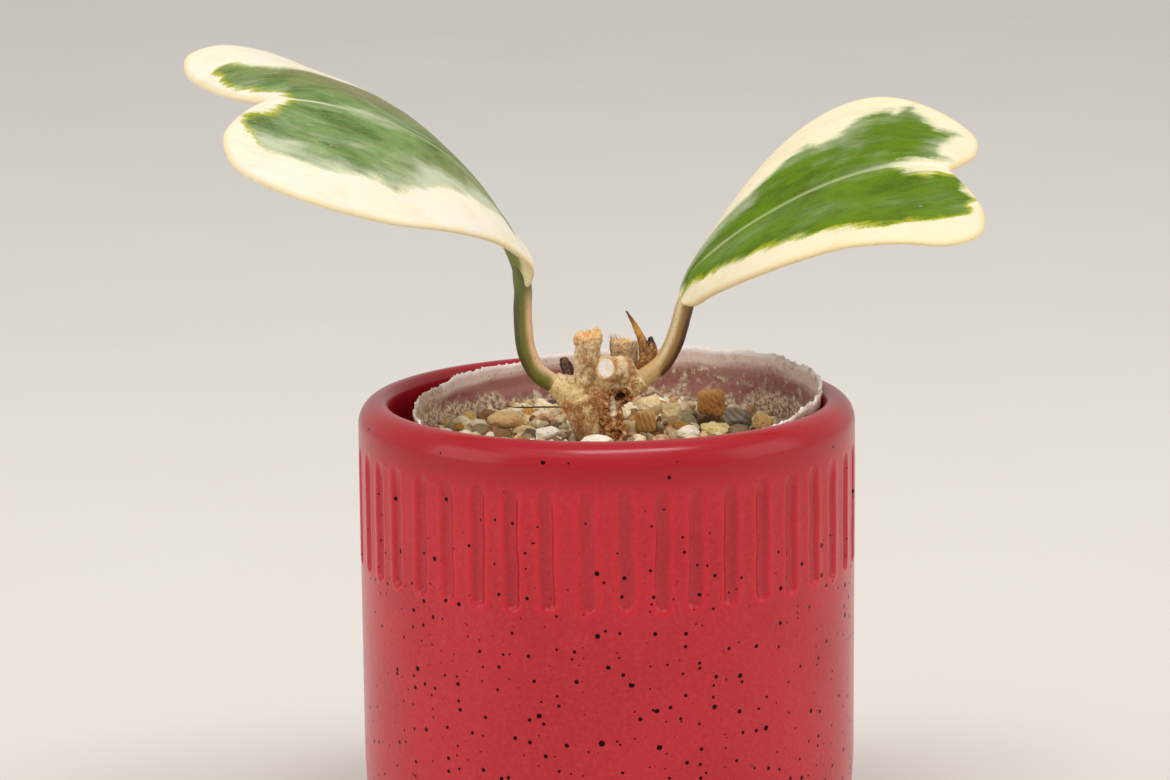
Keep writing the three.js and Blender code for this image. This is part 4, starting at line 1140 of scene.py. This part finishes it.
for side, shape in BLADES.items():
    spine = smooth_route(shape["midrib"], 400) * MM
    near = smooth_route(shape["near"], 700) * MM
    far = smooth_route(shape["far"], 700) * MM
    bpy.ops.object.select_all(action="DESELECT")
    around = 4 * BLADE_COLUMNS
    bpy.ops.mesh.primitive_grid_add(x_subdivisions=BLADE_ROWS, y_subdivisions=around, size=2)
    blade = bpy.context.object
    blade.name = blade.data.name = "blade_" + side
    grid = corners(blade)
    even = np.clip((grid[:, 0] + 1) / 2, 0, 1)
    u = even - BLADE_CROWDING * np.sin(2 * math.pi * even) / math.pi
    round_way = 2 * (grid[:, 1] + 1)
    upper = round_way <= 2
    sweep = np.where(upper, round_way - 1, 3 - round_way)
    across = np.sign(sweep) * (3 - 2 * np.abs(sweep)) * sweep ** 2
    place, up = blade_sheet(spine, near, far, shape["camber"], u, across)
    ridge, _ = blade_sheet(spine, near, far, shape["camber"], u, 0 * across)
    rim, _ = blade_sheet(spine, near, far, shape["camber"], u, np.where(across < 0, -1, 1))
    inset = distance_to(place, np.concatenate([near, far]))
    inset = np.minimum(inset, np.linalg.norm(place - rim, axis=1))
    foot = rise(u, 0, 0.03)
    rounding = np.clip(inset / BLADE_ROUND, 0, 1)
    thick = BLADE_MIDDLE + (BLADE_EDGE - BLADE_MIDDLE) * np.abs(across)
    thick *= np.sqrt(1 - (1 - rounding) ** 2)
    thick *= np.sqrt(np.clip(1 - (1 - np.clip(u / FOOT_ROUND, 0, 1)) ** 2, 0, 1))
    from_rib = np.linalg.norm(place - ridge, axis=1)
    groove = np.exp(-(from_rib / RIB_WIDTH) ** 2) * rise(u, 0.02, 0.1) * (1 - rise(u, 0.86, 0.97))
    wave = 0.35 * noise_at(place, 17 * MM, 31) + 0.1 * noise_at(place, 6 * MM, 32)
    place += up * (wave * MM * rise(inset, 0, 6 * MM) * foot)[:, None]
    lift = np.where(upper, thick / 2 - RIB_GROOVE * groove, -thick / 2 - RIB_UNDER * groove)
    places = place + up * lift[:, None]
    places[np.linalg.norm(places - spine[-1], axis=1) < 0.02 * MM] = spine[-1]
    move_corners(blade, places)
    turning_points = np.array(shape["green"])
    pairs = zip(turning_points, np.roll(turning_points, -1, axis=0))
    edge_line = np.concatenate([np.linspace(a, b, 14, endpoint=False) for a, b in pairs])
    edge_places, _ = blade_sheet(spine, near, far, shape["camber"], edge_line[:, 0], edge_line[:, 1])
    green = distance_to(place, edge_places)
    green[~within(np.stack([u, across], 1), shape["green"])] *= -1
    run = u * np.linalg.norm(np.diff(spine, axis=0), axis=1).sum()
    if side == "left":
        mossy = rise(u, 0.72, 0.84)
        veiled = (across < 0) * (1 - rise(u, 0.72, 0.86)) * rise(u, 0.14, 0.26)
    else:
        mossy = 1 - rise(across, -0.2, 0.2)
        veiled = 0.6 * rise(across, 0.1, 0.3)
    paint(blade, green=green, along=run, across=from_rib * np.sign(across), inset=inset)
    paint(blade, underside=1 - upper, u=u, mossy=mossy, veiled=veiled)
    weld(0.001 * MM)

    dark, light, crest, milk, shaded = shape["tones"]
    shine = {"Subsurface_Weight": 0.1, "Subsurface_Scale": 0.004, "Specular_IOR_Level": 0.18}
    leaf = Finish("variegated_" + side, 0.42, **shine)
    aside, far_out, inset = (leaf.painted(name) for name in ("across", "u", "inset"))
    plane = leaf.node("CombineXYZ", {"X": leaf.painted("along"), "Y": aside})[0]
    blotchy = leaf.mapped(plane, Scale=(0.45, 1, 1))
    streaks = leaf.cloud(480, 4, 0.6, leaf.mapped(plane, Scale=(0.18, 1, 1)))
    splashes = leaf.cloud(170, 4, 0.6, blotchy)
    fine = leaf.cloud(1500, 4, 0.6)
    inward = leaf.painted("green")
    for ragged, depth in ((streaks, 4), (splashes, 3), (fine, 1.4)):
        inward = leaf.plus(inward, leaf.times(leaf.plus(ragged, -0.5), depth * MM))

    leaf.color = leaf.mix(leaf.mask(leaf.cloud(150, 6, 0.75, blotchy), 0.36, 0.62), dark, light)
    # The crest tone is mottled in finely as the leaf's own variation. It is then laid on the far slope
    # of the midrib towards the foot, and on the left blade over its half towards the foot, as a painted
    # reflection of the surroundings on the blade's crest.
    leaf.lay(crest, leaf.mask(fine, 0.42, 0.62), 0.4)
    leaf.lay(crest, leaf.mask(aside, 4 * MM, 17 * MM), leaf.mask(far_out, 0.86, 0.6), 0.8)
    if side == "left":
        leaf.lay(crest, leaf.mask(far_out, 0.62, 0.25), 0.5)
    # Grey-green sheen near the margin, beside the midrib and in blotches: partly the leaf's own
    # mottling, partly painted reflection of soft light on its waxy skin.
    beside = leaf.node("Math", {0: aside}, operation="ABSOLUTE")[0]
    sheen_blotches = leaf.cloud(120, 5, 0.6, leaf.mapped(blotchy, Location=(0.3, 0.7, 0)))
    near_edge = leaf.times(leaf.mask(inward, 8 * MM, 0), leaf.painted("veiled"), 0.3)
    by_rib = leaf.times(leaf.mask(beside, 6 * MM, 1 * MM), leaf.mask(far_out, 0.4, 0.65), 0.1)
    sheen = leaf.mask(leaf.plus(sheen_blotches, leaf.plus(near_edge, by_rib)), 0.5, 0.82)
    if side == "right":
        sheen = leaf.times(sheen, leaf.mask(leaf.painted("veiled"), -0.4, 0.6))
    leaf.lay("CBD0B4", sheen, 0.8 if side == "left" else 0.6)
    heart_tone = leaf.color

    leaf.color = leaf.mix(leaf.times(leaf.mask(leaf.cloud(60), 0.35, 0.65), 0.3), milk, "F6E6B8")
    leaf.lay("DCCB9C", leaf.mask(leaf.cloud(260, 5, 0.7, blotchy), 0.45, 0.7), 0.35)
    leaf.lay("E6C67C", leaf.mask(inset, 1.3 * MM, 0), 0.45)
    moss = leaf.times(leaf.painted("mossy"), leaf.mask(leaf.cloud(160), 0.3, 0.5))
    leaf.lay(leaf.mix(moss, "CDCDA6", "A6AA24"), leaf.mask(inward, -0.7 * MM, 0.4 * MM))
    heart = leaf.mask(inward, 0.1 * MM, 1.5 * MM)
    leaf.lay(heart_tone, heart)
    rib_width = leaf.ramp(far_out, (0.5 if side == "left" else 0.85) * MM, 2.4 * MM, 0.7, 0.97)
    rib = leaf.mask(beside, rib_width, leaf.times(rib_width, 0.1))
    rib_tone = leaf.mix(leaf.mask(far_out, 0.72, 0.92), "AEB884", "EFEBD2")
    leaf.lay(rib_tone, rib, leaf.mask(far_out, 0.05, 0.2), 0.72)
    green_under = leaf.highest(heart, leaf.mask(far_out, 0.3, 0.16))
    green_under = leaf.times(green_under, leaf.mask(inset, 1.4 * MM, 3.2 * MM))
    leaf.lay(leaf.mix(green_under, "EDE2B2", shaded), leaf.painted("underside"))
    leaf.lay("A98A7C", spots(leaf, 230, 0.07, 0.045, plane), 0.75)
    leaf.on(blade, leaf.plus(fine, leaf.cloud(500)), 0.06 * MM, 0.6)
    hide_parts("leaf_blade_" + side)
    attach(blade, "root")


# Dried shoot and withered stub. In the right leaf's axil a dead shoot has dried to a curved
# brown thorn with a scaly base, and behind the left stalk a short stub has withered dark. Both
# are still attached to the stem.
TWIG_VOXEL = 0.11 * MM
DRIED_PARTS = (
    ("dried_thorn", "dried_shoot", 1.4 * MM, (
        ((1.5, 1.35, 0.9, 0.58, 0.2), (
            (7.6, 2, 105.4), (8.4, 1.3, 109), (7.7, 0.8, 112), (6.3, 0.4, 115.2), (4.3, 0, 118.7),
        )),
        ((1.3, 1.4, 1.0, 0.5), (
            (8.6, 1.8, 105.6), (9.5, 1.2, 108.6), (9.7, 0.9, 110.8), (9.3, 0.7, 112.9),
        )),
    )),
    ("withered_stub", "dark_stub", 1 * MM, (
        ((1.3, 1.4, 1.3, 1.2, 0.8), (
            (-7.4, 2.6, 103.4), (-8.2, 4.1, 105.2), (-8.7, 4.9, 106.6), (-8.9, 5.2, 107.7),
        )),
    )),
)

for name, node, scale_height, limbs in DRIED_PARTS:
    twig = merged(name, [tube("limb", route, radii, 60, 8) for radii, route in limbs])
    places, ways = remeshed(twig, TWIG_VOXEL, 3)
    low = 1 - rise(places[:, 2], 110 * MM, 113.5 * MM)
    scaly = 0.34 * noise_at(places * [1, 1, 0.5], 0.9 * MM, 41) + 0.15 * noise_at(places, 0.4 * MM, 42)
    places += ways * (scaly * (0.25 + 0.75 * low) * scale_height)[:, None]
    move_corners(twig, places)
    bpy.ops.object.shade_smooth()
    bark = Finish(name + "_bark", 0.6)
    height = bark.along("Z")
    fibres = bark.cloud(2200, 4, 0.6, bark.mapped(Scale=(1, 1, 0.3)))
    if node == "dried_shoot":
        bark.color = bark.mix(bark.mask(height, 111 * MM, 114.5 * MM), "A87A42", "E0A040")
        bark.lay("6E361A", bark.mask(height, 114 * MM, 118 * MM))
        bark.lay("6B4020", bark.mask(fibres, 0.45, 0.65))
        knob = bark.mask(bark.along("X"), 8.2 * MM, 8.8 * MM)
        bark.lay("3A2018", bark.mask(height, 111 * MM, 112.4 * MM), knob)
        flakes = bark.mask(bark.cloud(900, 4), 0.55, 0.66)
        bark.lay("DBBB84", flakes, bark.mask(height, 113 * MM, 111 * MM), 0.7)
    else:
        bark.color = bark.mix(bark.mask(height, 106 * MM, 109 * MM), "3A1A10", "6A4434")
        bark.lay("9A6A50", bark.mask(fibres, 0.5, 0.7))
    bark.on(twig, fibres, 0.25 * MM)
    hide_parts(node)
    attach(twig, "root")


# Hairs and rootlet. Fine dry fibres stand on the back stub's crown, and one thin dark root runs
# from the stem over the grit to the left.
FIBRE_COUNT = 26

picks = random.Random(9)
fibres = []
for k in range(FIBRE_COUNT):
    x, y = 2.2 + picks.uniform(-1.2, 1.6), 4 + picks.uniform(-2, 1.6)
    lean_x, lean_y = picks.uniform(-0.9, 0.4), picks.uniform(-0.6, 0.3)
    length = picks.uniform(0.7, 1.7)
    bend = (x + lean_x * 0.4, y + lean_y * 0.4, 111.4 + length * 0.6)
    route = [(x, y, 111), bend, (x + lean_x, y + lean_y, 111.4 + length)]
    fibres.append(tube("fibre", route, (0.12, 0.09, 0.04), 5, 0))
fibres.append(tube("rootlet", [
    (-8.2, -0.6, 98.3), (-10.5, 0.2, 98.1), (-14, 2.6, 97.6), (-18, 5.6, 96.9), (-21.5, 8, 96.6),
], (0.3, 0.22, 0.2, 0.16, 0.1), 30, 1))
fibres = merged("dry_fibres", fibres)
weld(0.001 * MM)
straw = Finish("dry_fibre", 0.7)
straw.color = straw.mix(straw.mask(straw.cloud(900), 0.35, 0.65), "C9A878", "EAD6AE")
straw.lay("4A2A1E", straw.mask(straw.along("Z"), 100 * MM, 97 * MM))
straw.on(fibres)
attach(fibres, "root")
